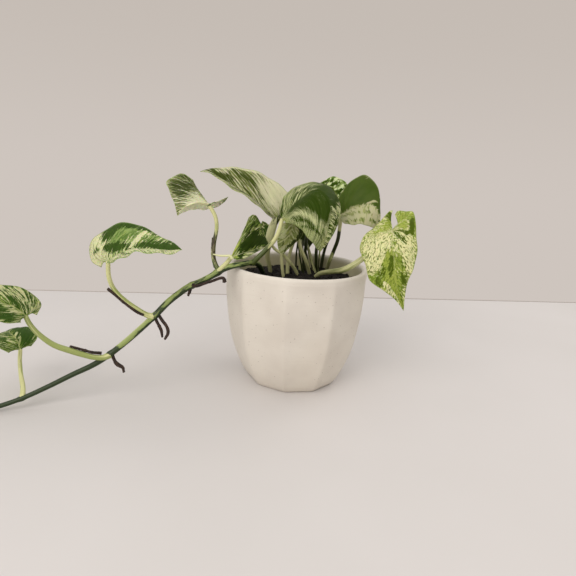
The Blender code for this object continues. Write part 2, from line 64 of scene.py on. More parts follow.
# Height, radius
POT_INSIDE = [
    (POT_HEIGHT, 56.9), (102.5, 55.5), (99, 54.9), (80, 53.3), (58, 51.4), (36, 47.2), (20, 41.8),
    (11, 36.0), (FLOOR_HEIGHT, 30.0),
]
POT_SEGMENTS = 300
POT_WAVER = 0.16  # how uneven the hand-worked wall is
CORNER_SHARPNESS = 2.2  # per millimetre: the larger, the crisper a facet's edge

# Soil, in millimetres
SOIL_HEIGHT = 90.0
SOIL_EDGE = 0.5  # gap to the pot's wall
SOIL_SEGMENTS = 220
LUMP = 0.9
CRUMBS = 260
INSIDE_SHADE_DEPTH = 6.0  # below the rim, from where the pot's inside wall is painted darker: painted shade
STEM_DEPTH = 84.0  # height at which a stem ends in the soil

# Blades, in millimetres or as shares
BLADE = 0.5  # thickness
ROWS = 110
COLUMNS = 26
FAN = 0.3  # how much of the margin fans out from the petiole
SINUS = 0.12  # how hollow the margin is beside the petiole
BULGE = 0.06  # how far each half bulges
RIPPLES = 4.5  # waves along a margin
VEINS = 9
VEIN_SWEEP = 0.24  # how far a side vein leans towards the tip
VEIN_RELIEF = 0.22
MIDRIB_GROOVE = 0.30  # on the upper side
MIDRIB_HEIGHT = (1.15, 0.20)  # on the underside, at the base and at the tip
LEAN = 0.2  # how far a lean of one pulls the patches
LEAN_LIMIT = 2.2

# Each leaf: midrib from the petiole to the tip, then the left and right margins up to the tip, as seen
# from the petiole with the upper face up, in millimetres. Then the height of the waves along its margin,
# and what isn't as the values above say: the bulge of each half, the fan, and the hollows beside the petiole.
LEAVES = {
    "far_left": dict(
        mid=[(-140, -63, 109), (-132, -64, 115), (-122, -66, 119), (-107, -70, 121), (-93, -74, 122),
            (-82, -78, 124)],
        left=[(-147, -58, 103), (-156, -53, 106), (-159, -50, 114), (-157, -48, 121), (-151, -47, 127),
            (-142, -47, 133), (-132, -48, 136), (-118, -52, 135), (-105, -58, 130), (-91, -68, 127)],
        right=[(-138, -70, 109), (-129, -82, 113), (-117, -89, 119), (-108, -92, 123), (-97, -92, 123),
            (-87, -86, 122)],
        wave=0.8),
    "upturned_left": dict(
        mid=[(-73, -30, 152), (-80, -36, 153), (-86, -43, 151), (-90, -48, 148), (-92, -51, 144)],
        left=[(-83, -40, 170), (-89, -44, 174), (-93, -48, 173), (-99, -53, 168), (-97, -54, 162), (-95, -54, 157),
            (-93, -53, 151)],
        right=[(-61, -8, 157), (-65, -4, 152), (-73, -4, 147), (-80, -14, 146), (-85, -28, 147), (-89, -42, 146)],
        bulge=(0.06, -0.02), wave=0.4),
    "long_top": dict(
        mid=[(-21, 0, 141), (-32, -4, 149), (-43, -8, 158), (-56, -12, 165), (-69, -15, 173), (-77, -17, 177),
            (-82, -18, 176)],
        left=[(-23, -9, 141), (-29, -20, 147), (-38, -28, 155), (-47, -31, 161), (-57, -31, 166), (-65, -29, 171),
            (-73, -24, 175)],
        right=[(-15, 8, 144), (-9, 15, 152), (-10, 18, 159), (-15, 18, 164), (-21, 17, 169), (-30, 14, 174),
            (-38, 10, 178), (-48, 5, 180), (-57, 0, 181), (-65, -6, 180), (-74, -12, 179)],
        wave=0.5),
    "centre": dict(
        mid=[(-16, -20, 143), (-9, -22, 153), (-1, -26, 161), (9, -32, 167), (17, -38, 164), (21, -43, 156),
            (20, -47, 143), (18, -49, 132), (15, -48, 123)],
        left=[(-18, -14, 146), (-17, -7, 152), (-16, 0, 159), (-9, 4, 166), (-1, 6, 170), (7, 4, 173), (14, 0, 172),
            (22, -8, 169), (27, -18, 164), (29, -26, 157), (29, -32, 151), (27, -40, 142), (21, -46, 131)],
        right=[(-12, -30, 141), (-7, -42, 142), (-1, -52, 140), (4, -56, 135), (9, -55, 130), (12, -51, 126)],
        bulge=(0.08, 0.1), wave=0.5, fan=0),
    "right_rear": dict(
        mid=[(34, 6, 147), (41, 4, 152), (50, 2, 156), (57, -1, 157), (63, -4, 152), (64, -6, 138)],
        left=[(31, 10, 151), (31, 13, 159), (35, 15, 167), (42, 16, 176), (51, 15, 181), (58, 12, 178),
            (63, 8, 172), (65, 4, 164), (66, 1, 155), (66, -3, 145)],
        right=[(33, 2, 144), (36, -6, 141), (43, -12, 141), (50, -14, 142), (57, -12, 140)],
        wave=0.5),
    "hanging_right": dict(
        mid=[(69, -40, 141), (69, -47, 131), (71, -50, 119), (74, -51, 103), (83, -49, 81)],
        left=[(70.5, -35.5, 153), (73, -34, 156), (79, -34, 156), (84, -36, 156), (86, -40, 148), (87, -44, 137),
            (88, -47, 126), (86, -50, 115), (83, -51, 106), (82, -51, 94)],
        right=[(69.4, -31, 155.8), (66, -32.5, 154.5), (57, -38, 144.5), (49, -42, 138), (46, -44, 133),
            (45, -46, 126), (50, -49, 115), (54, -51, 104), (65, -52, 97), (75, -51, 90)],
        wave=0.7, fan=0.4, sinus=(0.3, 0.08)),
    "back_small": dict(
        mid=[(41, 26, 144), (36, 27, 155), (31, 29, 162), (26, 32, 169), (15, 38, 171)],
        left=[(36, 22, 143), (28, 20, 148), (22, 21, 154), (17, 25, 161), (14, 31, 167)],
        right=[(45, 28, 146), (47, 30, 155), (44, 32, 165), (38, 34, 174), (28, 36, 178), (21, 37, 175)],
        wave=0.4),
    "low_left": dict(
        mid=[(-54, -36, 112), (-46, -32, 115), (-38, -24, 117), (-31, -16, 119), (-25, -10, 119)],
        left=[(-42, -24, 143), (-39, -20, 145), (-36, -16, 143), (-33, -12, 137), (-30, -9, 129), (-27, -8, 122)],
        right=[(-49, -38, 111), (-43, -36, 112), (-38, -29, 114), (-33, -20, 116)],
        bulge=(0.06, 0.04), wave=0.3),
    "inner_olive": dict(
        mid=[(-6, -2, 139), (-8, -5, 131), (-10, -7, 122), (-13, -8, 112)],
        left=[(-1, -1, 140), (3, -2, 134), (1, -5, 127), (-5, -7, 121), (-10, -8, 116)],
        right=[(-12, -4, 140), (-17, -6, 135), (-19, -8, 126), (-18, -9, 118), (-16, -9, 114)],
        bulge=(0.08, 0.08), wave=0.2),
    "inner_small": dict(
        mid=[(-25, 15, 116), (-28, 15, 123), (-31, 17, 129), (-34, 19, 136)],
        left=[(-29, 16, 117), (-34, 18, 123), (-36, 19, 129), (-35, 19, 133)],
        right=[(-24, 16, 126), (-27, 18, 132), (-31, 19, 135)],
        bulge=(0.08, 0.08), wave=0.2),
    "rear": dict(
        mid=[(7, 32, 136), (8, 39, 141), (9, 46, 137), (10, 50, 124), (10, 51, 107)],
        left=[(3, 28, 137), (-3, 30, 141), (-7, 36, 143), (-8, 43, 138), (-6, 48, 129), (-1, 51, 118),
            (5, 52, 111)],
        right=[(12, 29, 137), (18, 32, 141), (21, 38, 142), (21, 44, 137), (20, 49, 128), (16, 51, 118),
            (12, 52, 111)],
        wave=0.4),
    "rear_right": dict(
        mid=[(37, 42, 142), (43, 48, 151), (50, 54, 156), (58, 60, 156), (66, 65, 150)],
        left=[(33, 47, 144), (34, 56, 150), (41, 65, 156), (51, 69, 158), (60, 69, 155)],
        right=[(40, 36, 143), (47, 36, 148), (56, 41, 152), (63, 49, 153), (66, 57, 152)],
        bulge=(0.08, 0.08), wave=0.5),
    "vine_outer": dict(
        mid=[(-187, -90, 73), (-193, -93, 80), (-204, -98, 85), (-217, -104, 86), (-229, -110, 82),
            (-238, -115, 74)],
        left=[(-186, -98, 71), (-190, -108, 74), (-200, -116, 79), (-213, -121, 81), (-227, -120, 78)],
        right=[(-183, -84, 72), (-184, -76, 78), (-192, -75, 86), (-204, -81, 92), (-217, -90, 93),
            (-229, -101, 87)],
        bulge=(0.08, 0.08), wave=0.7),
    "vine_low": dict(
        mid=[(-206, -70, 39), (-212, -64, 44), (-222, -56, 46), (-231, -48, 43), (-237, -42, 36)],
        left=[(-211, -76, 38), (-220, -75, 42), (-230, -67, 43), (-236, -56, 41)],
        right=[(-200, -66, 40), (-200, -57, 44), (-209, -48, 47), (-221, -43, 46), (-231, -42, 41)],
        bulge=(0.08, 0.08), wave=0.4),
}

# Markings of each leaf. lean: the general pull towards dark green, cream and lime. patch: width and length
# in millimetres. speckle: share of flecks. sweep: how far the streaks of the left and the right half lean
# towards the tip. lined: strength of the fine lines. rib, under: colours of the midrib and the underside,
# with their cover. A stroke pulls the blade towards a tone along a line: the place along from base to tip
# and the place across from -1 (right) to 1 (left) at one end and the other, the reach as a share of the
# half width, then the pull towards dark green, cream and lime.
DARK, CREAM, LIME = 0, 1, 2
# Colours of a blade that gives none of its own
GREENS = dict(dark="#2f4c0c", mid="#5c782c", light="#919f58", cream="#c3c493", lime="#a3aa40")
STROKE_STRETCH = 2.4  # a blade's length over its half width, about
LOOKS = {
    "far_left": dict(lean=(-0.8, -0.5, -1), patch=(2.2, 5), speckle=0.5, sweep=(0.45, 0.24), lined=0.8, strokes=[
        (.37, .7, .37, 1, .14, 2.4), (.45, .9, .66, .95, .16, 1.9), (.35, .35, .4, .2, .12, 1.9),
        (.44, .22, .54, .12, .12, 2), (.4, .42, .52, .66, .16, 0, -1.5), (.44, .48, .52, .66, .08, -1.2),
        (.66, .18, .84, .22, .14, 2.2), (.7, .45, .84, .55, .14, .8), (.9, .3, 1, .2, .3, 2.4),
        (.92, .85, 1, .6, .2, 2), (.08, .85, .27, .9, .2, 0, 1.6), (.54, .1, .66, .8, .05, -2.4, 1.7),
        (.02, .6, .26, .4, .36, 0, 2), (.08, .85, .27, .9, .18, -.5), (.17, .7, .24, .5, .06, 1.3),
        (.4, -.5, .95, -.6, .5, 0, 1.1), (.6, -.35, .7, -.3, .12, 1.2), (.43, -.3, .44, -.8, .07, .9),
        (.83, .45, .87, .75, .08, 0, 1.1)],
        colors=dict(dark="#30490e", mid="#587432", light="#8a9f5c", cream="#d4d4a8")),
    # This leaf's cream is real cream marbling, painted extra pale as painted light: the cream strip of its right
    # half faces down, away from the lamps
    "upturned_left": dict(lean=(-0.7, -0.4, -1), patch=(2, 9), speckle=0.2, sweep=(1, 0.3), under="#b4ba8b",
        under_share=0, strokes=[
        (.05, .8, .45, .6, .36, 1.3), (.38, -.3, 1, -.7, .6, -2, 2.6), (.45, .6, .8, .4, .25, .3),
        (.22, -.2, .28, -.9, .07, 1), (.02, -.5, .2, -.7, .3, 0, .8)],
        colors=dict(dark="#48552a", mid="#7e8953", light="#a0a876", cream="#e8e8c8")),
    "long_top": dict(lean=(-0.6, -0.2, -1), patch=(1.7, 8), speckle=0.2, sweep=(0.8, 1.2), strokes=[
        (.02, -.35, .12, -.75, .22, 2.2), (.24, -.95, .42, -.45, .3, 0, 1.6), (.24, -.95, .4, -.45, .32, -1.6),
        (.44, -.2, .74, -.75, .26, .7), (.46, -.25, .64, -.65, .07, 1), (.76, -.3, .8, -.7, .1, 0, .9),
        (.2, -.98, .82, -.98, .06, -2, 1.8), (.86, -.25, 1, 0, .3, 2.4), (.93, -.8, 1, -.6, .18, 1.8),
        (.78, -.9, .86, -.6, .1, 0, 1.2), (.2, .6, .7, .5, .25, 1)],
        colors=dict(cream="#d0ceac", light="#9aa26b", mid="#656f33", dark="#3a470c")),
    "centre": dict(lean=(-0.5, -0.2, -1), patch=(1.7, 15), speckle=0.1, rib_share=0, sweep=(0.5, 4), shine=0.03,
        lined=1.5, strokes=[
        (.2, -.24, .44, -.32, .27, 2.6), (.53, .98, .53, -.2, .26, 2.8), (.44, -.1, .6, -.24, .26, 2.2),
        (.62, 0, .74, .6, .03, -1.6, 1.4), (.68, .25, .78, .7, .08, 1.2), (.14, -.7, .6, -.66, .05, -.6, .9),
        (.3, -.92, .74, -.66, .03, 1.6), (.46, -.98, .86, -.5, .025, 1.6), (.66, .8, .9, .3, .04, 1.4),
        (.6, -.62, .82, -.15, .05, 0, 1.2), (.2, -.84, .62, -.76, .06, .9), (.6, -.4, .8, .05, .07, .9),
        (.74, -.5, .92, -.1, .05, .9), (0, .3, .05, .8, .1, 1.8), (.16, .3, .4, .25, .1, .8),
        (.24, .6, .4, .55, .1, .6), (.9, -.3, 1, 0, .26, 0, 0, 1.5), (0, -.3, .08, -.8, .16, 0, 0, 1.4)],
        colors=dict(dark="#2a3d08", cream="#c4c79a", light="#8c9a5e", mid="#5b6e2f")),
    # This leaf's cream is real cream marbling, painted darker than on the other leaves as painted shade on its
    # steep right half
    "right_rear": dict(lean=(-0.9, 0.2, -1), patch=(3, 7), speckle=0.1, rib_share=0.1, lined=0.5, strokes=[
        (.06, .55, .66, .6, .48, 3.2), (.3, .2, .62, .22, .12, 1.8), (.64, .1, .72, .55, .05, -3.2, 2.2),
        (.34, -.55, .9, -.6, .5, -.7, .8), (.34, -.25, .46, -.4, .1, 0, -1.3), (.56, -.42, .68, -.4, .1, 0, -1.4),
        (.32, -.78, .6, -.8, .09, 0, -1.2), (.79, -.65, .83, -.62, .08, 2.4), (.76, -.7, .86, -.6, .12, 0, -1.6),
        (.05, -.25, .28, -.4, .16, 1.2)],
        colors=dict(dark="#3d5210", cream="#b6b48e", light="#969c68", mid="#6c783c")),
    "hanging_right": dict(lean=(-0.8, 0.2, -0.2), patch=(1.6, 1.9), speckle=0.9, lined=0.15, shine=0.18, strokes=[
        (.31, .15, .36, .6, .06, 1.5), (.1, .2, .24, .5, .14, 0, -1.2), (.24, .86, .33, .8, .1, 2.8),
        (.34, .66, .38, .56, .05, 1.6), (.41, .12, .45, .5, .06, 1.3), (.6, .25, .7, .6, .14, 0, -1.3),
        (.6, .3, .72, .8, .14, .5), (.71, .46, .74, .6, .06, 1.7), (.6, -.08, .68, -.2, .09, 1.7),
        (.63, -.45, .7, -.85, .1, 1.2), (.6, -.15, .68, -.85, .15, 0, -2), (.74, .7, .8, .95, .14, .7),
        (.78, -.1, 1, -.1, .3, 0, 0, 1.8), (.84, 0, 1, 0, .5, 0, -1.5), (.58, -.25, .72, -.4, .16, 0, -1.6, 1.2),
        (.86, .45, .98, .3, .22, .8), (.1, .5, .36, .55, .2, 0, 0, 1.4), (.06, -.5, .38, -.5, .25, 0, 0, 1.8),
        (.06, -.5, .36, -.5, .25, 0, -.9), (.44, -.5, .56, -.5, .34, 0, 1.8), (.46, .5, .58, .6, .28, 0, 1.2),
        (0, -.6, .04, -.9, .1, 1.6), (.74, -.6, .84, -.6, .14, 0, 1.2), (.02, .75, .26, .98, .18, 0, -1, .6)],
        colors=dict(dark="#475906", mid="#6a851f", light="#94a24c", cream="#dcdaa6", lime="#9caa48",
                    fleck="#68772a")),
    "back_small": dict(lean=(0, -0.6, -0.9), patch=(1.5, 8), speckle=0, sweep=(0.2, -0.5), shine=0.03,
        lined=1.6, strokes=[
        (.36, .6, .84, .5, .42, 2.6), (.05, -.6, .48, -.5, .12, 1), (.72, -.05, .56, -.8, .04, -2, 1.5),
        (.84, -.1, .7, -.85, .05, -2, 1.5), (.62, -.1, .52, -.6, .03, -1.5, 1.3), (.78, -.1, .63, -.85, .03, 1.6),
        (.9, -.7, 1, -.2, .16, 2)],
        colors=dict(dark="#31460a", mid="#5c7a2a", light="#95a864", cream="#d3dcae", lime="#a6b668")),
    "low_left": dict(lean=(-0.4, -0.6, -0.8), patch=(1.8, 7), speckle=0.1, rib="#c6cd9c", rib_share=0.9, strokes=[
        (.46, .35, .88, .6, .3, 2.6), (.02, -.2, .3, -.22, .24, 0, 0, 2.4), (0, .2, .2, .2, .2, 0, 0, 2),
        (0, .2, .24, .2, .2, -1.4), (.08, -.78, .3, -.55, .1, 2.2), (.3, -.55, .46, -.06, .1, 2.2),
        # The dark stroke from (.62, -.9) to (.7, -.3) is painted shade: a shadow across the right half, drawn as a
        # dark band
        (.16, -.95, .4, -.7, .1, 0, 1.8), (.44, -.85, .56, -.3, .14, 0, 1.8), (.62, -.9, .7, -.3, .14, 2.2),
        (.78, -.8, .86, -.3, .14, 0, 1.6), (.26, .85, .46, .7, .14, .6), (.92, -.4, 1, .2, .22, 2.2)],
        colors=dict(dark="#243705", mid="#5a742a", light="#94a15a", lime="#adbb50", cream="#c9caa0")),
    "inner_olive": dict(lean=(-0.9, -0.2, -0.9), patch=(2.2, 7), speckle=0.1, lined=0.6, strokes=[
        (.3, .85, .7, .85, .24, 2.2), (.68, .85, .8, .45, .16, 1.8), (.66, -.52, .76, -.5, .07, 1.4),
        (.44, -.6, .58, -.45, .2, 0, 1.3), (.1, -.85, .34, -.7, .08, 0, 1.2), (.88, .3, 1, 0, .3, 1.6)],
        colors=dict(cream="#bcc092", light="#929c60", mid="#707b3c", dark="#2d380c")),
    "inner_small": dict(lean=(0.2, -0.2, -1), patch=(2, 6), speckle=0.1, strokes=[
        (.2, .8, .6, .3, .24, 2.4), (.56, -.4, .78, -.4, .34, 2.4), (.3, -.6, .46, -.4, .2, 0, 1.6),
        (.82, -.5, .96, .2, .18, 0, 1.5), (.82, -.5, .96, .2, .16, -1.6)]),
    # The rear leaf's colours, its underside and its lean towards dark green are painted dark: painted shade, as it
    # hangs in deep shade behind the stems
    "rear": dict(lean=(0.6, -0.8, -1), patch=(2.4, 8), speckle=0.2, shine=0.05, under="#3f4a20", strokes=[
        (.2, .6, .6, .4, .3, 1.6)],
        colors=dict(dark="#1e2a08", mid="#2f3c14", light="#465422", cream="#6a7046")),
    "rear_right": dict(lean=(0, 0.1, -0.8), patch=(2.4, 8), speckle=0.2, strokes=[
        (.3, -.6, .7, -.5, .3, 1.6), (.2, .5, .5, .6, .25, 0, 1.4)]),
    "vine_outer": dict(lean=(-0.1, 0, -1), patch=(2.4, 8), speckle=0.3, strokes=[
        (.3, .6, .75, .5, .28, 1.8), (.2, -.5, .6, -.6, .28, 0, 1.5)]),
    "vine_low": dict(lean=(0.1, -0.2, -0.8), patch=(2.2, 7), speckle=0.2, strokes=[
        (.25, -.5, .7, -.6, .28, 1.6), (.5, .5, .8, .4, .22, 0, 1.3)]),
}

# The trailing vine, in millimetres: centre line from the soil over the rim, down to the table and along it
VINE = [
    (-31, 18, 84), (-31.5, 8, 93), (-34, -14, 103.5), (-39, -27, 107.2), (-45, -36, 107.3),
    (-52.5, -39, 105.9), (-60, -40.5, 102.8), (-67, -42.5, 98.2), (-74.5, -45, 94), (-84, -48, 89.5),
    (-91.5, -50, 84), (-99.5, -53, 77), (-108, -56, 67.5), (-121, -61, 54.5), (-129, -64, 47),
    (-139, -68, 38.5), (-150.5, -71, 30.5), (-165, -76, 23.5), (-180, -82, 16), (-196, -89, 9),
    (-212, -96, 4.4), (-229, -104, 2.5), (-244, -110, 2.1), (-256, -114, 2.4), (-266, -117, 5),
]
VINE_RADII = [2.1, 2.2, 2.3, 2.4, 2.5, 2.5, 2.4, 2.2, 1.9, 1.7, 2.1, 0.5]

# Petioles that grow from the vine: leaf, points, radii
VINE_PETIOLES = [
    ("far_left", [(-109, -56.5, 66.5), (-114.5, -58, 68.5), (-120.5, -60, 73), (-129, -61, 79.5),
                  (-134.5, -62, 85.5), (-138, -62, 91), (-140, -62, 98.5)], (2.4, 2.0, 1.8, 1.7)),
    ("upturned_left", [(-62, -41, 101.5), (-65.5, -38, 106.5), (-67.5, -36, 112.5), (-67.5, -34, 122.5),
                       (-66, -32, 134), (-67.5, -31, 143)], (2.0, 1.7, 1.5, 1.5)),
    ("centre", [(-38, -26, 106.5), (-33, -27, 112), (-28, -26, 117.5), (-21, -24, 126),
                (-17.5, -22, 134)], (2.4, 2.1, 1.9, 1.8)),
    ("low_left", [(-64, -42, 100.5), (-60, -42, 105), (-56.5, -39.5, 108.5)], (1.8, 1.8, 1.9)),
    ("vine_outer", [(-139, -68, 38), (-143.5, -71, 36.7), (-149, -74, 38), (-155.5, -77, 41),
                    (-162, -80, 44.5), (-172, -84, 50), (-180, -87, 58), (-185, -89, 66)],
     (2.3, 2.1, 2.3, 1.9, 1.7)),
    ("vine_low", [(-196, -89, 9), (-198, -84, 15), (-203, -77, 22), (-206, -72, 30)], (1.9, 1.5, 1.4)),
]

# Stems that stand in the soil: node, leaf or None, points, radii
SOIL_STEMS = [
    ("stem_long_top", "long_top",
     [(-24, 23, STEM_DEPTH), (-25, 17, 94), (-27.5, 10, 106.5), (-27, 6, 118.5), (-24.5, 3, 131)],
     (1.8, 1.8, 2.1, 3.2, 3.6, 2.6)),
    ("stem_right_rear", "right_rear",
     [(28, 42, STEM_DEPTH), (28, 37, 90), (28.5, 16, 104.5), (31, 14, 113.5), (33.5, 10, 124.5),
      (34, 8, 135)], (1.8, 1.7, 1.6, 1.6)),
    ("stem_hanging_right", "hanging_right",
     [(15, 22, STEM_DEPTH), (17, 12, 90), (20.5, -2, 96.5), (27.5, -20, 102.5), (34.5, -33, 107),
      (41, -37, 111.5), (48, -37, 117), (56, -37, 125), (63, -38, 134)], (1.9, 2.2, 2.4, 2.5, 2.1, 1.7)),
    ("stem_back_small", "back_small",
     [(18.5, 36, STEM_DEPTH), (17, 27, 101), (16.5, 25, 114), (21, 25, 126), (31, 25, 135)],
     (1.5, 1.4, 1.4)),
    ("stem_inner_olive", "inner_olive",
     [(13, 27, STEM_DEPTH), (10, 16, 95), (6.5, 5, 105.5), (2, 1, 115.5), (-1, 0, 124)],
     (1.6, 1.5, 1.4)),
    ("stem_inner_small", "inner_small",
     [(3, 19, STEM_DEPTH), (-2, 12, 95), (-8.5, 5, 104.5), (-14.5, 8, 109.5), (-20.5, 13, 112)],
     (1.6, 1.5, 1.3)),
    ("stem_rear", "rear",
     [(5.5, 34, STEM_DEPTH), (6, 34, 100), (6.5, 30, 112), (6.5, 27, 122)], (1.6, 1.5, 1.4)),
    ("stem_rear_right", "rear_right",
     [(23, 46, STEM_DEPTH), (24, 47, 98), (26, 45, 112), (30, 41, 126), (34, 40, 134)],
     (1.5, 1.4, 1.4)),
    ("shoot_pale", None,
     [(-11, 5, STEM_DEPTH), (-13.5, 1, 98), (-15, 1.5, 112), (-14, 4, 124), (-12, 6, 136),
      (-11, 7, 142)], (1.5, 1.4, 1.3, 1.3, 2.1, 0.5)),
    ("shoot_thick", None,
     [(-8.5, 11, STEM_DEPTH), (-9, 14, 100), (-7, 18, 112), (-4, 21, 124), (-1, 23, 134)],
     (1.7, 1.7, 1.5, 1.5, 2.2, 0.5)),
]

# More thin stems that crowd behind the others: points, radius. The last one is short and stands behind
# the centre leaf's petiole.
EXTRA_STEMS = [
    ([(-1.4, 22, 84), (-1.4, 22, 94.2), (-1.7, 20, 101.7), (-1.8, 18, 109.2), (-1.3, 16, 117.7),
      (-1.1, 15, 124.7)], 0.8),
    ([(6.1, 24, 84), (6.1, 24, 88.8), (3.3, 22, 98.1), (1.3, 19, 106.8), (0, 17, 115.3),
      (-0.1, 16, 124.6)], 0.8),
    ([(17.2, 26, 84), (17.2, 26, 90.2), (14.8, 27, 96.5), (12.3, 29, 103.8), (9.7, 31, 111.2),
      (6.9, 33, 117.9)], 1),
    ([(18.5, 31, 84), (18.5, 31, 89.2), (17.5, 30, 98.5), (17.2, 28, 107.9), (17, 26, 118.4)], 0.9),
    ([(19.3, 22, 84), (19.3, 22, 91.3), (19.1, 21, 101.6), (19.2, 20, 112.5), (19.7, 19, 120.8)], 0.7),
    ([(15.9, 36, 84), (15.9, 36, 87.9), (13.2, 37, 98.1), (10.1, 38, 107.5), (7.2, 39, 115.7)], 1.1),
    ([(8.9, 33, 84), (8.9, 33, 88.7), (5.9, 34, 98.2), (4.2, 35, 105.3), (3.5, 36, 112.3),
      (3.5, 37, 119.4)], 1.2),
    ([(12.6, 38, 84), (12.6, 38, 87.2), (9.9, 39, 97.5), (8, 40, 104.6), (6.1, 41, 111.7)], 1),
    ([(2.8, 30, 84), (2.8, 30, 89), (1.7, 31, 98.6), (2.2, 32, 105.7), (2.5, 33, 112.8),
      (1.8, 34, 119.8)], 1),
    ([(-25.5, 4, 127), (-19.1, -1, 140.8), (-17.8, -6, 143.4), (-15.3, -12, 147)], 1.5),
]

# A pale dried flap where the lowest petiole leaves the vine, and the place of a bare joint of the vine
STIPULE = [(-66.6, -42, 115.1), (-62.1, -42, 114.3), (-57.5, -42, 114.4), (-53.7, -42, 114.5), (-51.7, -42, 112.3)]
RING_PLACE = (-82, -47.3, 90.6)

# Lean of each stem towards dark, pale and brown: one value, or pairs of a place, as a share of the stem
# from its foot, and the value there
STEM_TONES = {
    "vine": (((0, 0.2), (.42, 0.2), (.44, -.1), (.535, -.2), (.55, 1.4), (.92, 0.9), (1, -.6)),
             ((0, 0.0), (.42, 0.2), (.44, 0.7), (.535, 0.6), (.55, -1.8), (.92, -.8), (1, .4)), 0),
    "far_left": (-1, ((0, 0.3), (.15, -.1), (.6, -.1), (.8, 0.6), (1, 0.6)), 0),
    "upturned_left": (((0, 0.6), (.6, 0.3), (.75, -1), (.96, -1), (1, 1.5)), ((0, 0), (.7, 0.2), (.8, 1), (1, 0.8)),
                      ((0, 0.35), (.1, 0.5), (.62, 0.5), (.7, 0), (1, 0))),
    "centre": (((0, 0.9), (.35, 0.3), (.7, -0.8)), ((0, -0.6), (.4, 0.0), (.7, 0.7), (1, 0.5)), 0),
    "low_left": (-1.5, 1.2, 0),
    "vine_outer": (((0, -0.6), (1, -0.2)), ((0, 0.2), (.2, -0.4), (1, -0.4)), 0),
    "vine_low": (-0.3, 0.2, 0),
    "stipule": (-1.5, 1.6, 0),
    "stem_right_rear": (((0, -0.8), (.5, -0.8), (.58, 1.5), (.78, 1.5), (.84, -1)),
                        ((0, 0.4), (.5, 0), (.58, -1.8), (.78, -1.8), (.84, 1.2)), 0),
    "stem_hanging_right": (-1.2, ((0, 0.3), (.5, 0.0), (1, 0.6)), 0),
    # stem_long_top's pale lean rises to 1.6 towards the blade: its real cream, painted paler as painted light,
    # since the thick sheath there lies in shade
    "stem_long_top": (((0, 0), (.5, -1), (.7, -.2)), ((0, 0.2), (.5, 1.0), (.7, 1.6)), 0),
    "stem_back_small": (0.9, -0.8, 0),
    "stem_rear": (0.8, -0.6, 0),
    "stem_rear_right": (0.7, -0.6, 0),
    "shoot_pale": (-1, 0.9, 0),
}

# Dried aerial roots at the vine's nodes, and dried sheath edges along petioles: points, radii
DRY_FRAY = 1.35  # how much their loose skin stands off
DRY_PIECES = {
    "aerial_root_long": ([(-81, -49, 91.6), (-77.5, -50.5, 91.2), (-71.5, -49, 93.4), (-66, -47.6, 95.2),
                          (-60.5, -46.6, 97.5), (-57.6, -46.4, 97.6), (-56.6, -46.6, 94.6)],
                         (1.0, 0.9, 0.8, 0.9, 1.1)),
    "aerial_root_spur": ([(-82.5, -47.5, 90), (-83.2, -48.8, 86), (-84.2, -49.4, 82.6)], (1.1, 0.9, 0.6)),
    "aerial_root_left": ([(-108.5, -56, 67), (-106.5, -56.6, 62.5), (-103.4, -57, 56.5),
                          (-102.4, -57, 50.5)], (1.0, 0.9, 0.9, 0.6)),
    "aerial_root_right": ([(-106, -55, 68), (-102.2, -55.6, 62.8), (-99, -56, 58.6), (-98, -57, 53.8),
                           (-100.4, -57.2, 49)], (1.0, 0.9, 1.0, 0.7)),
    "aerial_root_low": ([(-138, -67.5, 38.5), (-136, -68, 33.8), (-133.8, -68, 30.4),
                         (-130.2, -67.2, 27.8), (-129.4, -67, 23.6)], (1.1, 0.9, 1.2, 0.9, 0.7)),
    "sheath_far_left": ([(-115.6, -60.4, 68.7), (-120.4, -62.2, 71.7), (-129.0, -63, 78.4),
                         (-135.0, -64, 84.2), (-140.0, -64.4, 88.6)], (0.8, 0.8, 0.7, 0.9)),
    "sheath_upturned": ([(-66.2, -35.4, 103.4), (-68.2, -33.4, 110), (-69.2, -32, 118),
                         (-69, -31.2, 126)], (0.9, 0.8, 0.6)),
    "sheath_outer": ([(-144.6, -70.6, 40), (-150, -73.4, 41.4), (-156, -76.4, 44.4),
                      (-163, -79.6, 48)], (0.9, 0.8, 0.6)),
}


def linear(code):
    """An sRGB hex colour as linear red, green, blue and alpha."""
    parts = [int(code[k:k + 2], 16) / 255 for k in (1, 3, 5)]
    return (*[c / 12.92 if c <= 0.04045 else ((c + 0.055) / 1.055) ** 2.4 for c in parts], 1.0)


def unit(v):
    v = np.asarray(v, float)
    return v / np.maximum(np.linalg.norm(v, axis=-1, keepdims=True), 1e-12)


def smooth_curve(points, steps):
    """A Catmull-Rom curve through the points, at steps + 1 places evenly along its length."""
    p = np.asarray(points, float)
    ends = np.vstack([2 * p[0] - p[1], p, 2 * p[-1] - p[-2]])
    t = np.linspace(0, 1, 24, endpoint=False)[:, None]
    runs = []
    for a, b, c, d in zip(ends[:-3], ends[1:-2], ends[2:-1], ends[3:]):
        runs.append(0.5 * (2 * b + (c - a) * t + (2 * a - 5 * b + 4 * c - d) * t**2
                           + (3 * b - a - 3 * c + d) * t**3))
    fine = np.vstack(runs + [p[-1:]])
    along = np.r_[0, np.cumsum(np.linalg.norm(np.diff(fine[:, :3], axis=0), axis=1))]
    even = np.linspace(0, along[-1], steps + 1)
    return np.stack([np.interp(even, along, fine[:, k]) for k in range(fine.shape[1])], 1)


def at(curve, t):
    steps = np.linspace(0, 1, len(curve))
    return np.array([np.interp(t, steps, curve[:, k]) for k in range(curve.shape[1])]).T


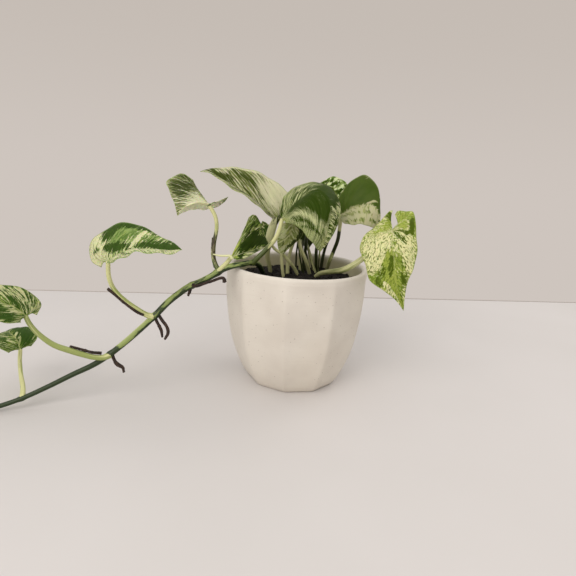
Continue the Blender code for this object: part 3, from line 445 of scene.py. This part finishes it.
def blade_grid(leaf, rows=ROWS, columns=COLUMNS):
    """The blade's middle surface, row by row from base to tip and from the right margin to the left one.

    Gives the points, the place along and across, the distance from the midrib in millimetres, and the
    share of the midrib's run at each row's foot.
    """
    mid = smooth_curve(leaf["mid"], 200)
    run = unit(np.gradient(mid, axis=0))
    fan = leaf.get("fan", FAN)
    u = np.linspace(0, 1, rows + 1)
    foot = np.clip((u - fan) / (1 - fan), 0, 1)
    rib = at(mid, foot)
    halves = []
    spread_out = np.linspace(0, 1, columns + 1) ** 1.5
    for side, bulge in zip((1, -1), leaf.get("bulge", (BULGE, BULGE))):
        inner = leaf["left"] if side > 0 else leaf["right"]
        edge = smooth_curve([*inner, leaf["mid"][-1]], 200)
        rim = at(edge, u)
        rim_run = at(unit(np.gradient(edge, axis=0)), u)
        normals = side * np.cross(at(run, foot), rim - rib)
        normals[-1] = normals[-2]
        normals = unit(normals)
        for _ in range(3):
            normals[1:-1] = unit(normals[:-2] + 2 * normals[1:-1] + normals[2:])
        spread = np.linalg.norm(np.cross(rim_run, rim - rib), axis=1)
        v = spread_out[None, :, None]
        along = u[:, None, None]
        dome = bulge * spread[:, None, None] * 4 * v * (1 - v) * np.minimum(1, 4 * along)
        ripple = leaf["wave"] * v * v * np.sin(2 * math.pi * RIPPLES * along + side) * np.sin(math.pi * along)
        points = rib[:, None] * (1 - v) + rim[:, None] * v + normals[:, None] * (dome + ripple)
        # The edge beside the petiole is hollow, so that the gap between the lobes is round
        last = round(fan * rows)
        for i in range(last):
            hollow = leaf.get("sinus", (SINUS, SINUS))[side < 0] * (1 - i / last) ** 2
            points[i] += (hollow * np.sin(math.pi * spread_out))[:, None] * (points[last] - points[i])
        reach = np.linalg.norm(rim - rib, axis=1)[:, None] * spread_out[None]
        halves.append((points, reach))
    (left, left_reach), (right, right_reach) = halves
    points = np.concatenate([right[:, :0:-1], left], axis=1)
    reach = np.concatenate([right_reach[:, :0:-1], left_reach], axis=1)
    across = np.concatenate([-spread_out[:0:-1], spread_out])
    return points, u, across, reach, foot


def grid_normals(points, faces):
    total = np.zeros_like(points)
    for face in faces:
        corners = points[list(face)]
        total[list(face)] += np.cross(corners[1] - corners[0], corners[-1] - corners[0])
    return unit(total)


def add(tree, kind, inputs=None, output=0, **settings):
    """Adds a shader node with its settings, sets or links its inputs, and gives one of its outputs."""
    node = tree.nodes.new("ShaderNode" + kind)
    for name, value in settings.items():
        setattr(node, name, value)
    for name, value in (inputs or {}).items():
        if isinstance(value, bpy.types.NodeSocket):
            tree.links.new(value, node.inputs[name])
        else:
            node.inputs[name].default_value = value
    return node.outputs[output]


def new_material(name, **constants):
    """A material with a Principled shader, whose plain values are set on its own sockets."""
    material = bpy.data.materials.new(name)
    material.use_nodes = True
    tree = material.node_tree
    shader = tree.nodes["Principled BSDF"]
    for socket, value in constants.items():
        shader.inputs[socket.replace("_", " ")].default_value = value
    return material, tree, shader


def summed(tree, start, *terms):
    """A start value plus fields, each times its weight."""
    total = start
    for field, weight in terms:
        total = add(tree, "Math", {0: field, 1: weight, 2: total}, operation="MULTIPLY_ADD")
    return total


def painted(tree, color, *layers):
    """Layers over a colour: field, the values where each starts and stops coming in, its cover, its colour."""
    for field, start, stop, cover, paint in layers:
        share = add(tree, "MapRange", {0: field, 1: start, 2: stop, 4: cover}, interpolation_type="SMOOTHSTEP")
        color = add(tree, "Mix", {0: share, 6: color, 7: linear(paint)}, 2, data_type="RGBA")
    return color


def fields_of(tree, name):
    """The three numbers that every point of a piece carries under this name."""
    vector = add(tree, "Attribute", None, "Vector", attribute_name=name)
    return [add(tree, "SeparateXYZ", {0: vector}, number) for number in range(3)]


def streaks(tree, vector, size, shift, detail=3.0, roughness=0.55):
    """Noise whose spots measure size millimetres along each axis of a vector in millimetres."""
    scale = tuple(1 / s for s in size)
    place = add(tree, "Mapping", {0: vector, "Location": shift, "Scale": scale})
    return add(tree, "TexNoise", {"Vector": place, "Scale": 1.0, "Detail": detail, "Roughness": roughness})


def finished(tree, shader, color, gloss, height, strength, depth):
    """Links colour, roughness and relief to the shader. The relief is depth metres deep."""
    bump = add(tree, "Bump", {"Strength": strength, "Distance": depth, "Height": height})
    for socket, value in (("Base Color", color), ("Roughness", gloss), ("Normal", bump)):
        tree.links.new(value, shader.inputs[socket])


def leaf_blade(name, look):
    """Living leaf blade, grown: a waxy cuticle over marbled tissue, with streaks along the side veins.

    The eye sees a satin surface, sharp-edged green on cream, and a duller, paler underside.
    """
    colors = {**GREENS, **look.get("colors", {})}
    material, tree, shader = new_material(
        name, IOR=1.45, Metallic=0.0, Specular_IOR_Level=look.get("shine", 0.12),
        Subsurface_Weight=0.25, Subsurface_Scale=0.001, Subsurface_Radius=(0.5, 1.0, 0.2))
    vein = add(tree, "Attribute", None, "Vector", attribute_name="vein")
    tone = fields_of(tree, "tone")
    rib, border, under = fields_of(tree, "place")
    width, length = look["patch"]
    wander = add(tree, "TexNoise", {"Vector": vein, "Scale": 0.2, "Detail": 2.0}, "Color")
    wander = add(tree, "VectorMath", {0: wander, 1: (0.5, 0.5, 0.5)}, operation="SUBTRACT")
    grown = add(tree, "VectorMath", {0: wander, 1: (4.5, 6.0, 0.0), 2: vein}, operation="MULTIPLY_ADD")
    lines = streaks(tree, grown, (1.5, 11.0, 2.0), (3.7, 0.1, 4.0), 3.0, 0.6)
    marks = []
    for number, lined in ((DARK, 1.3), (CREAM, -1.0), (LIME, 0.6)):
        patches = streaks(tree, grown, (width, length, 2.0), (5.3 + 3.1 * number, 1.9, 0.7 * number), 5.0, 0.65)
        lined *= look.get("lined", 1.0)
        marks.append(summed(tree, -0.25 - lined / 2, (patches, 1.5), (tone[number], LEAN), (lines, lined)))
    broad = streaks(tree, grown, (width * 1.6, length, 3.0), (1.7, 4.1, 0), 5.0, 0.65)
    shade = streaks(tree, grown, (width * 4, length * 2, 3.0), (6.7, 2.1, 0), 2.0)
    flecks = streaks(tree, vein, (1.3, 1.5, 1.0), (2.2, 9.4, 1.0), 1.0, 0.5)
    flecks = summed(tree, 0.0, (flecks, 1.0), (marks[DARK], 0.35))
    fleck, mid = colors.get("fleck", colors["mid"]), colors["mid"]
    color = painted(
        tree, linear(mid), (broad, 0.43, 0.57, 1.0, colors["light"]),
        (marks[LIME], 0.46, 0.6, 1.0, colors["lime"]), (marks[CREAM], 0.46, 0.56, 1.0, colors["cream"]),
        (flecks, 0.68, 0.73, look["speckle"], fleck), (marks[DARK], 0.4, 0.52, 0.55, mid),
        (marks[DARK], 0.49, 0.56, 1.0, colors["dark"]), (shade, 0.35, 0.65, 0.14, mid),
        (rib, 0.1, 0.9, look.get("rib_share", 0.5), look.get("rib", "#b9bd7c")),
        (border, 0.0, 1.0, 0.5, colors["light"]),
        (under, 0.0, 1.0, look.get("under_share", 0.55), look.get("under", "#a9b38a")))
    cells = add(tree, "TexNoise", {"Vector": vein, "Scale": 1.6, "Detail": 3.0})
    gloss = summed(tree, 0.295, (cells, 0.35), (under, 0.18))
    finished(tree, shader, color, gloss, cells, 0.25, 0.0002)
    return material


def green_stem(name, dark, middle, pale):
    """Living petiole or stem, grown: a smooth waxy rind with long fibres.

    The eye sees pale and green lines along it, a soft sheen, and brown where its sheath has dried.
    """
    material, tree, shader = new_material(name, IOR=1.45, Metallic=0.0)
    skin = add(tree, "Attribute", None, "Vector", attribute_name="skin")
    tone = fields_of(tree, "tone")
    lines = streaks(tree, skin, (1.1, 1.1, 26.0), (3.0, 5.0, 1.0))
    patches = streaks(tree, skin, (3.0, 3.0, 11.0), (8.0, 2.0, 6.0))
    color = painted(
        tree, linear(middle),
        (summed(tree, 0.0, (lines, 1.0), (tone[1], 0.35)), 0.42, 0.6, 1.0, pale),
        (tone[1], 1.1, 1.6, 0.7, "#d9dcac"),
        (summed(tree, 0.0, (patches, 1.0), (tone[0], 0.35)), 0.5, 0.62, 1.0, dark),
        (summed(tree, 0.0, (lines, 1.0), (tone[2], 1.0)), 0.95, 1.1, 1.0, "#3a2a20"))
    grain = streaks(tree, skin, (0.5, 0.5, 5.0), (0.0, 0.0, 0.0), 2.0)
    finished(tree, shader, color, summed(tree, 0.32, (grain, 0.24)), grain, 0.3, 0.0002)
    return material


def dried_tissue():
    """Dried sheath and aerial root: shrunken, fibrous plant skin, dark brown, with no shine."""
    material, tree, shader = new_material("dried_tissue", IOR=1.5, Metallic=0.0)
    skin = add(tree, "Attribute", None, "Vector", attribute_name="skin")
    fibres = streaks(tree, skin, (0.6, 0.6, 3.5), (1.0, 2.0, 3.0))
    color = painted(tree, linear("#1a120d"), (fibres, 0.4, 0.62, 1.0, "#433126"))
    finished(tree, shader, color, summed(tree, 0.8, (fibres, 0.1)), fibres, 0.7, 0.0004)
    return material


def unglazed_stoneware():
    """Unglazed stoneware with a thin matte slip, turned and cut, then fired.

    The eye sees a chalky warm white, faint turning lines, and sparse dark iron specks.
    """
    material, tree, shader = new_material("unglazed_stoneware", IOR=1.5, Metallic=0.0)
    where = add(tree, "TexCoord", None, "Object")
    clouds = add(tree, "TexNoise", {"Vector": where, "Scale": 38.0, "Detail": 4.0})
    warm = add(tree, "TexNoise", {"Vector": where, "Scale": 11.0, "Detail": 2.0})
    # Painted shade: the inside wall is painted darker below the rim, down to the soil
    painted_inside_shade = fields_of(tree, "place")[0]
    # Iron specks of 0.1 to 0.5 mm across, 2.8 mm apart
    cells = {"Vector": where, "Scale": 360.0}
    pick = add(tree, "SeparateXYZ", {0: add(tree, "TexVoronoi", cells, "Color")})
    size = add(tree, "MapRange", {0: pick, 1: 0.5, 2: 1.0, 3: 0.03, 4: 0.17})
    speck = add(tree, "Math", {0: add(tree, "TexVoronoi", cells, "Distance"), 1: size}, operation="LESS_THAN")
    color = painted(tree, linear("#d4cec4"), (clouds, 0.3, 0.72, 1.0, "#ddd8ce"),
                    (warm, 0.45, 0.7, 0.12, "#dccfb4"),
                    (speck, 0.0, 1.0, 0.45, "#77685a"), (painted_inside_shade, 0.0, 1.0, 0.85, "#b4ae8a"))
    grain = add(tree, "TexNoise", {"Vector": where, "Scale": 1400.0, "Detail": 2.0})
    stretched = add(tree, "Mapping", {0: where, "Scale": (12.0, 12.0, 900.0)})
    turned = add(tree, "TexNoise", {"Vector": stretched, "Scale": 1.0, "Detail": 2.0})
    height = summed(tree, 0.0, (grain, 0.5), (turned, 1.0))
    finished(tree, shader, color, summed(tree, 0.62, (clouds, 0.2)), height, 0.35, 0.0003)
    return material


def potting_mix():
    """Moist peat with bark crumbs: nearly black, matte, and rough at every scale."""
    material, tree, shader = new_material("potting_mix", IOR=1.4, Metallic=0.0)
    where = add(tree, "TexCoord", None, "Object")
    crumbs = add(tree, "TexNoise", {"Vector": where, "Scale": 420.0, "Detail": 5.0})
    color = painted(tree, linear("#0f0b09"), (crumbs, 0.42, 0.75, 1.0, "#281f18"))
    finished(tree, shader, color, summed(tree, 0.88, (crumbs, 0.08)), crumbs, 0.8, 0.0006)
    return material


def table_laminate():
    """White laminate, pressed: pale and even, with a low satin sheen."""
    material, tree, shader = new_material("table_laminate", IOR=1.5, Metallic=0.0)
    where = add(tree, "TexCoord", None, "Object")
    clouds = add(tree, "TexNoise", {"Vector": where, "Scale": 6.0, "Detail": 3.0})
    color = painted(tree, linear("#cdcac8"), (clouds, 0.0, 1.0, 1.0, "#d3d0cf"))
    finished(tree, shader, color, summed(tree, 0.55, (clouds, 0.1)), clouds, 0.02, 0.0002)
    return material


def painted_shadow_line():
    """A thin grey matte strip where the table meets the wall: a painted shadow line."""
    return new_material("painted_shadow_line", Base_Color=linear("#b3aca6"), Roughness=0.9, IOR=1.4)[0]


def mesh_piece(name, points, faces, material, fields=None, smooth=True):
    """A piece whose points are in millimetres, with its vector fields and its material."""
    mesh = bpy.data.meshes.new(name)
    mesh.from_pydata((np.asarray(points, float) * MM).tolist(), [], faces)
    mesh.validate()
    for field, values in (fields or {}).items():
        layer = mesh.attributes.new(field, "FLOAT_VECTOR", "POINT")
        layer.data.foreach_set("vector", np.asarray(values, np.float32).ravel())
    mesh.materials.append(material)
    if smooth:
        mesh.shade_smooth()
    piece = bpy.data.objects.new(name, mesh)
    bpy.context.scene.collection.objects.link(piece)
    return piece


def settle(piece, slot, *nodes):
    """The piece rides on the plant's one body and stands for the solids that it replaces."""
    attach(piece, "root")
    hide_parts(*nodes)


def blade_tones(look, along, across):
    """The lean towards each tone at every point of the blade."""
    tones = np.tile(np.array(look["lean"], float), (len(along), 1))
    place = np.stack([along * STROKE_STRETCH, across], 1)
    for along_a, across_a, along_b, across_b, reach, *pulls in look["strokes"]:
        start = np.array((along_a * STROKE_STRETCH, across_a))
        run = np.array((along_b * STROKE_STRETCH, across_b)) - start
        share = np.clip((place - start) @ run / (run @ run), 0, 1)
        away = np.linalg.norm(place - start - share[:, None] * run, axis=1) / reach
        tones[:, :len(pulls)] += np.outer(np.exp(-away ** 3), pulls)
    return np.clip(tones, -LEAN_LIMIT, LEAN_LIMIT)


def make_blade(name, leaf, look, seed):
    points, u, across, reach, foot = blade_grid(leaf)
    rows, width = points.shape[:2]
    centre = width // 2
    index = np.arange(rows * width).reshape(rows, width)
    index[foot == 0, centre] = index[0, centre]
    index[-1] = index[-1, centre]
    faces = []
    for i in range(rows - 1):
        for j in range(width - 1):
            corners = dict.fromkeys((index[i, j], index[i + 1, j], index[i + 1, j + 1], index[i, j + 1]))
            if len(corners) > 2:
                faces.append(tuple(int(c) for c in corners))
    flat = points.reshape(-1, 3)
    normals = grid_normals(flat, faces)
    along = np.repeat(u, width)
    ribs = np.repeat(foot, width)
    side = np.tile(across, rows)
    away = reach.ravel()
    v = np.abs(side)
    lap = np.minimum(1, v * 8) * (1 - v ** 6) * np.minimum(1, away / 3)
    sweep = look.get("sweep", (VEIN_SWEEP, VEIN_SWEEP))
    swept = along - np.where(side > 0, *sweep) * v * (1 - along)
    veined = along - VEIN_SWEEP * v * (1 - along)
    wave = np.abs(np.sin(math.pi * (VEINS * veined + 0.35 * (side > 0))))
    sunk = MIDRIB_GROOVE * np.exp(-(away / 0.8) ** 2) * (1 - 0.7 * ribs)
    top = VEIN_RELIEF * (wave - 1) * lap - sunk
    high, low = MIDRIB_HEIGHT
    raised = (high - (high - low) * ribs) * np.exp(-(away / (1.0 - 0.5 * ribs)) ** 2)
    below = VEIN_RELIEF * (1 - wave) * lap + raised
    half = BLADE / 2 * (1 - 0.6 * v ** 8)
    shape = np.vstack([flat + normals * (half + top)[:, None], flat - normals * (half + below)[:, None]])
    count = len(flat)
    edges = {}
    for face in faces:
        for a, b in zip(face, face[1:] + face[:1]):
            edges[(a, b)] = True
    rim = [(b, a, a + count, b + count) for a, b in edges if (b, a) not in edges]
    closed = faces + [tuple(c + count for c in reversed(face)) for face in faces] + rim
    used = np.unique([c for face in closed for c in face])
    renumber = np.full(2 * count, -1)
    renumber[used] = np.arange(len(used))
    closed = [tuple(int(renumber[c]) for c in face) for face in closed]
    # Vein coordinates in millimetres: across the side veins, then along them
    margin = np.linalg.norm(np.diff(points[:, -1], axis=0), axis=1).sum()
    vein = np.stack([swept * margin, away, 0 * away + seed + 9.0 * (side > 0)], 1)
    tone = blade_tones(look, along, side)
    rib = np.exp(-(away / 0.55) ** 2) * (1 - 0.8 * ribs)
    border = np.clip((v - 0.975) / 0.025, 0, 1)
    upper = np.stack([rib, border, 0 * rib], 1)
    lower = np.stack([rib, border, 0 * rib + 1], 1)
    fields = {"vein": np.vstack([vein, vein])[used], "tone": np.vstack([tone, tone])[used],
              "place": np.vstack([upper, lower])[used]}
    blade = mesh_piece(f"blade_{name}", shape[used], closed, leaf_blade(f"leaf_blade_{name}", look), fields)
    settle(blade, "leaf_blade", f"leaf_{name}")
    return blade


def blade_seat(leaf):
    """The blade's attachment and its upper side there."""
    points, u, across, reach, foot = blade_grid(leaf, rows=24, columns=6)
    centre = points.shape[1] // 2
    start = points[0, centre]
    total = np.zeros(3)
    for i in range(6):
        for j in range(points.shape[1] - 1):
            a, b, c = points[i, j], points[i + 1, j], points[i + 1, j + 1]
            total += np.cross(b - a, c - a)
    return start, unit(total)


def ring_faces(rings, around, start=0, turned=False):
    """Faces of stacked rings of points, closed by a fan to one more point for the first and last ring."""
    faces = []
    first = start + rings * around
    last = start + (rings - 1) * around
    for k in range(around):
        after = (k + 1) % around
        for a, b in ((start + i * around + k, start + i * around + after) for i in range(rings - 1)):
            faces.append((a, b, b + around, a + around))
        faces += [(first, start + after, start + k), (first + 1, last + k, last + after)]
    return [(face[0], *face[:0:-1]) for face in faces] if turned else faces


def tube(points, radii, sides=18, spacing=1.2, groove=0.0, knots=(), taper_end=False):
    """A closed tube along a smooth curve: points, faces, and for each point its skin and place along.

    groove is the share by which its upper side is sunk, and knots are places along where it swells:
    place, height in millimetres, reach as a share of the whole.
    """
    path = np.asarray(points, float)
    radius = np.interp(np.linspace(0, 1, len(path)), np.linspace(0, 1, len(radii)), radii)
    length = np.linalg.norm(np.diff(path, axis=0), axis=1).sum()
    steps = max(6, round(length / spacing))
    curve = smooth_curve(np.column_stack([path, radius]), steps)
    centre, r = curve[:, :3], curve[:, 3].copy()
    share = np.linspace(0, 1, steps + 1)
    for place, height, reach in knots:
        r += height * np.exp(-((share - place) / reach) ** 2)
    if taper_end:
        r *= np.sqrt(np.clip((1 - share) / 0.12, 0.02, 1))
    run = unit(np.gradient(centre, axis=0))
    up = np.array((0.0, 0.0, 1.0)) if abs(run[0][2]) < 0.8 else np.array((0.0, -1.0, 0.0))
    across = unit(np.cross(run[0], up))
    made, skin = [], []
    for c, t, size, s in zip(centre, run, r, share * length):
        across = unit(across - t * (across @ t))
        other = np.cross(across, t)
        for k in range(sides):
            turn = 2 * math.pi * k / sides
            dent = 1 - groove * max(0.0, math.sin(turn)) ** 6
            offset = size * dent * (across * math.cos(turn) + other * math.sin(turn))
            made.append(c + offset)
            skin.append((size * math.cos(turn), size * math.sin(turn), s))
    for c, t, size, s in ((centre[0], -run[0], r[0], 0.0), (centre[-1], run[-1], r[-1], length)):
        made.append(c + t * size * 0.45)
        skin.append((0.0, 0.0, s))
    return np.array(made), ring_faces(steps + 1, sides, turned=True), np.array(skin)


def facet_radius(corner, share, turn):
    """Radius at an angle: flat between softly rounded corners, blended into the round by share."""
    half = math.pi / FACETS
    away = (turn - FACET_TURN) % (2 * half) - half
    here = corner * math.cos(half) / math.cos(away)
    beside = corner * math.cos(half) / math.cos(2 * half - abs(away))
    soft = -np.log(np.exp(-CORNER_SHARPNESS * (here - corner)) + np.exp(-CORNER_SHARPNESS * (beside - corner)))
    flat = corner + soft / CORNER_SHARPNESS
    return share * flat + (1 - share) * corner


def lathe(rings, low, high):
    """Points and faces of stacked rings with a point at the centre of each end."""
    return [p for ring in rings for p in ring] + [low, high], ring_faces(len(rings), len(rings[0]))


def turns(segments):
    return [2 * math.pi * k / segments + FACET_TURN for k in range(segments)]


def circle(radius, z, segments):
    return [(radius * math.sin(t), -radius * math.cos(t), z) for t in turns(segments)]


def make_pot():
    outside = smooth_curve([(z, c, s) for z, c, s in POT_OUTSIDE], 96)
    inside = smooth_curve([(z, r) for z, r in POT_INSIDE], 60)
    rings = []
    for z, corner, share in outside:
        ring = []
        for t in turns(POT_SEGMENTS):
            r = facet_radius(corner, min(1.0, max(0.0, share)), t)
            if 4 < z < 97:
                r += POT_WAVER * noise.noise(Vector((3 * math.sin(t), 3 * math.cos(t), z / 16))) - 0.1
            ring.append((r * math.sin(t), -r * math.cos(t), min(z, POT_HEIGHT)))
        rings.append(ring)
    rings += [circle(r, z, POT_SEGMENTS) for z, r in inside[1:]]
    points, faces = lathe(rings, (0, 0, 0), (0, 0, FLOOR_HEIGHT))
    # The inside wall is painted darker below the rim, down to the soil: painted shade
    inside_shade_share = [min(1.0, (POT_HEIGHT - z) / INSIDE_SHADE_DEPTH) * (math.hypot(x, y) < inner_radius(z) + 0.5)
           for x, y, z in points]
    fields = {"place": np.outer(inside_shade_share, (1, 0, 0))}
    pot = mesh_piece("stoneware_pot", points, faces, unglazed_stoneware(), fields)
    settle(pot, "stoneware", "pot")


def inner_radius(z):
    return float(np.interp(z, [h for h, r in reversed(POT_INSIDE)], [r for h, r in reversed(POT_INSIDE)]))


def soil_top(x, y):
    z = LUMP * (math.sin(0.31 * x + 1.1) * math.cos(0.27 * y) + 0.6 * math.sin(0.53 * y - 0.4 * x))
    z += 1.1 * noise.noise(Vector((x / 5, y / 5, 0.0))) + 0.6 * noise.noise(Vector((x / 1.9, y / 1.9, 4.0)))
    return SOIL_HEIGHT + z


def make_soil():
    base = FLOOR_HEIGHT + 0.4
    rings = [circle(inner_radius(z) - SOIL_EDGE, z, SOIL_SEGMENTS) for z in (base, 11, 20, 36, 58, 80, 87)]
    edge = inner_radius(SOIL_HEIGHT) - SOIL_EDGE
    for share in np.linspace(1.0, 0.02, 64):
        rings.append([(x, y, soil_top(x, y)) for x, y, _ in circle(edge * share, 0, SOIL_SEGMENTS)])
    points, faces = lathe(rings, (0, 0, base), (0, 0, soil_top(0, 0)))
    rng = np.random.default_rng(11)
    for _ in range(CRUMBS):
        turn, out = rng.uniform(0, 2 * math.pi), edge * 0.96 * math.sqrt(rng.uniform(0, 1))
        size = rng.uniform(0.5, 1.5)
        stretch = rng.uniform(0.6, 1.5, 3)
        x, y = out * math.sin(turn), -out * math.cos(turn)
        place = np.array((x, y, soil_top(x, y) + 0.15 * size))
        add_crumb(points, faces, place, size * stretch, rng)
    soil = mesh_piece("potting_soil", points, faces, potting_mix(), smooth=False)
    settle(soil, "potting_mix", "soil")


def add_crumb(points, faces, place, size, rng):
    """An irregular crumb: rings of a rough ball."""
    start = len(points)
    around, layers = 7, 4
    for i in range(1, layers):
        tilt = math.pi * i / layers
        for k in range(around):
            turn = 2 * math.pi * k / around
            rough = rng.uniform(0.8, 1.15)
            point = (math.sin(tilt) * math.cos(turn), math.sin(tilt) * math.sin(turn), math.cos(tilt))
            points.append(tuple(place + np.array(point) * size * rough))
    points.append(tuple(place + np.array((0, 0, size[2]))))
    points.append(tuple(place - np.array((0, 0, size[2]))))
    faces += ring_faces(layers - 1, around, start, turned=True)


def tone_along(share, tones):
    """Stem tones at every point, each given as one value or as (place along, value) pairs."""
    values = []
    for pairs in tones:
        places, amounts = zip(*pairs) if isinstance(pairs, tuple) else ((0,), (pairs,))
        values.append(np.interp(share, places, amounts))
    return np.stack(values, 1)


def stem_shape(path, radii, leaf_name, **more):
    if leaf_name:
        start, upper = blade_seat(LEAVES[leaf_name])
        path = [*path, tuple(start - upper * 0.5)]
    return tube(path, radii, **more)


def make_stems():
    material = green_stem("green_petiole", "#2c3512", "#868f56", "#bfc08e")
    for name, leaf_name, path, radii in SOIL_STEMS:
        points, faces, skin = stem_shape(path, radii, leaf_name, groove=0.14, taper_end=leaf_name is None)
        tone = tone_along(skin[:, 2] / skin[:, 2].max(), STEM_TONES.get(name, (-0.3, 0.3, 0)))
        if name == "stem_rear":
            for number, (line, radius) in enumerate(EXTRA_STEMS):
                more, sides, rind = tube(line, (radius,), sides=10, taper_end=True)
                faces += [tuple(c + len(points) for c in face) for face in sides]
                points = np.vstack([points, more])
                skin = np.vstack([skin, rind + (0, 0, 41.0 * number)])
                light = 0.3 * (number % 3)
                tone = np.vstack([tone, np.tile((0.5 - light, light - 0.4, 0), (len(more), 1))])
        piece = mesh_piece(f"petiole_{name}", points, faces, material, {"skin": skin, "tone": tone})
        settle(piece, "petiole", name)


def make_vine():
    vine_material = green_stem("green_vine", "#233511", "#4d6a2e", "#8a9a56")
    petiole_material = green_stem("vine_petiole", "#4d5a2a", "#98a45f", "#cccd95")
    vine_line = smooth_curve(VINE, 300)
    joints = []
    for path in [path for _, path, _ in VINE_PETIOLES] + [[RING_PLACE]]:
        joints.append(np.argmin(np.linalg.norm(vine_line - np.array(path[0]), axis=1)) / 300)
    knots = [(place, 0.45, 0.006) for place in joints]
    shapes = [("vine", tube(VINE, VINE_RADII, sides=22, knots=knots), 0)]
    for leaf_name, path, radii in VINE_PETIOLES:
        shape = stem_shape(path, radii, leaf_name, groove=0.16, knots=((0.0, 0.5, 0.05),))
        shapes.append((leaf_name, shape, 1))
    shapes.append(("stipule", tube(STIPULE, (0.5, 0.8, 0.9, 1.4)), 1))
    points, faces, skins, tones, slots = [], [], [], [], []
    for name, (made, sides, skin), slot in shapes:
        start = sum(len(p) for p in points)
        share = skin[:, 2] / skin[:, 2].max()
        tone = tone_along(share, STEM_TONES[name])
        if name == "vine":
            # Painted shade and highlight: the vine is painted darker on its underside and paler on its top, as the
            # light falls from above
            under = -skin[:, 1] / np.maximum(np.hypot(skin[:, 0], skin[:, 1]), 0.1)
            near = np.min(np.abs(share[:, None] - np.array(joints)), 1)
            ring = np.exp(-(near / 0.003) ** 2)
            tone += np.stack([1.2 * np.clip(under, -0.1, 1), -0.8 * np.clip(under, -1, 1), 0.5 * ring], 1)
        points.append(made)
        faces += [tuple(c + start for c in face) for face in sides]
        slots += [slot] * len(sides)
        skins.append(skin + (0, 0, 37.0 * len(skins)))
        tones.append(tone)
    vine = mesh_piece("vine_and_petioles", np.vstack(points), faces, vine_material,
                      {"skin": np.vstack(skins), "tone": np.vstack(tones)})
    vine.data.materials.append(petiole_material)
    vine.data.polygons.foreach_set("material_index", slots)
    settle(vine, "vine_stem", "trailing_vine")


def make_dry_pieces():
    material = dried_tissue()
    for name, (path, radii) in DRY_PIECES.items():
        points, faces, skin = tube(path, [DRY_FRAY * r for r in radii], sides=12, spacing=0.5)
        rough = [0.5 * noise.noise(Vector(p) / 1.3) for p in points]
        middle = points.mean(0)
        points = points + np.array(rough)[:, None] * unit(points - middle)
        piece = mesh_piece(f"dry_{name}", points, faces, material, {"skin": skin})
        settle(piece, "dried_sheath", name)


def make_stage():
    side, (left_back, right_back) = TABLE_REACH, TABLE_BACK
    points = [(-side, -side, 0), (side, -side, 0), (side, right_back, 0), (-side, left_back, 0)]
    table = mesh_piece("table_top", points, [(0, 1, 2, 3)], table_laminate(), smooth=False)
    # The grey strip where the table meets the wall: a painted shadow line
    ends = [(-side, left_back), (side, right_back)]
    points = [(x, y, z) for z in (-1, 0.9) for x, y in ends]
    shadow_strip = mesh_piece("painted_shadow_line", points, [(0, 1, 3, 2)], painted_shadow_line(), smooth=False)
    world = bpy.data.worlds.new("room")
    bpy.context.scene.world = world
    world.use_nodes = True
    tree = world.node_tree
    background = tree.nodes["Background"]
    background.inputs["Strength"].default_value = 1.0
    height = add(tree, "SeparateXYZ", {0: add(tree, "TexCoord", None, "Generated")}, 2)
    room = painted(tree, linear("#cec5be"), (height, -0.05, 0.32, 1.0, "#c5bcb4"),
                   (height, 0.36, 0.75, 1.0, "#eceae8"))
    tree.links.new(room, background.inputs["Color"])


def area_light(name, place, target, size, power, color):
    light = bpy.data.lights.new(name, "AREA")
    light.shape = "DISK"
    light.size = size
    light.energy = power
    light.color = linear(color)[:3]
    lamp = bpy.data.objects.new(name, light)
    lamp.location = place
    lamp.rotation_euler = (Vector(target) - Vector(place)).to_track_quat("-Z", "Y").to_euler()
    bpy.context.scene.collection.objects.link(lamp)


def make_lights():
    area_light("front_left", (-0.55, -1.1, 0.95), (0, 0, 0.06), 1.2, 12.0, "#fff8f2")
    area_light("rear_right", (0.7, 0.55, 0.85), (0, 0, 0.02), 0.6, 2.2, "#fff6ee")


def make_camera():
    pitch, roll = math.radians(CAMERA_PITCH), math.radians(CAMERA_ROLL)
    right = Vector((math.cos(roll), math.sin(roll) * math.sin(pitch), math.sin(roll) * math.cos(pitch)))
    up = Vector((-math.sin(roll), math.cos(roll) * math.sin(pitch), math.cos(roll) * math.cos(pitch)))
    back = right.cross(up)
    data = bpy.data.cameras.new("view")
    data.sensor_width = SENSOR
    data.lens = FOCAL_PIXELS * SENSOR / FRAME_PIXELS
    data.clip_start = 0.01
    camera = bpy.data.objects.new("view", data)
    turned = Matrix((right, up, back)).transposed().to_4x4()
    camera.matrix_world = Matrix.Translation(Vector(CAMERA_PLACE) * MM) @ turned
    bpy.context.scene.collection.objects.link(camera)
    bpy.context.scene.camera = camera


def main():
    make_camera()
    make_stage()
    make_lights()
    make_pot()
    make_soil()
    for seed, (name, leaf) in enumerate(LEAVES.items()):
        make_blade(name, leaf, LOOKS[name], 31.0 * seed)
    make_vine()
    make_stems()
    make_dry_pieces()
    bpy.context.scene.view_settings.view_transform = "Standard"
    bpy.context.view_layer.update()


main()
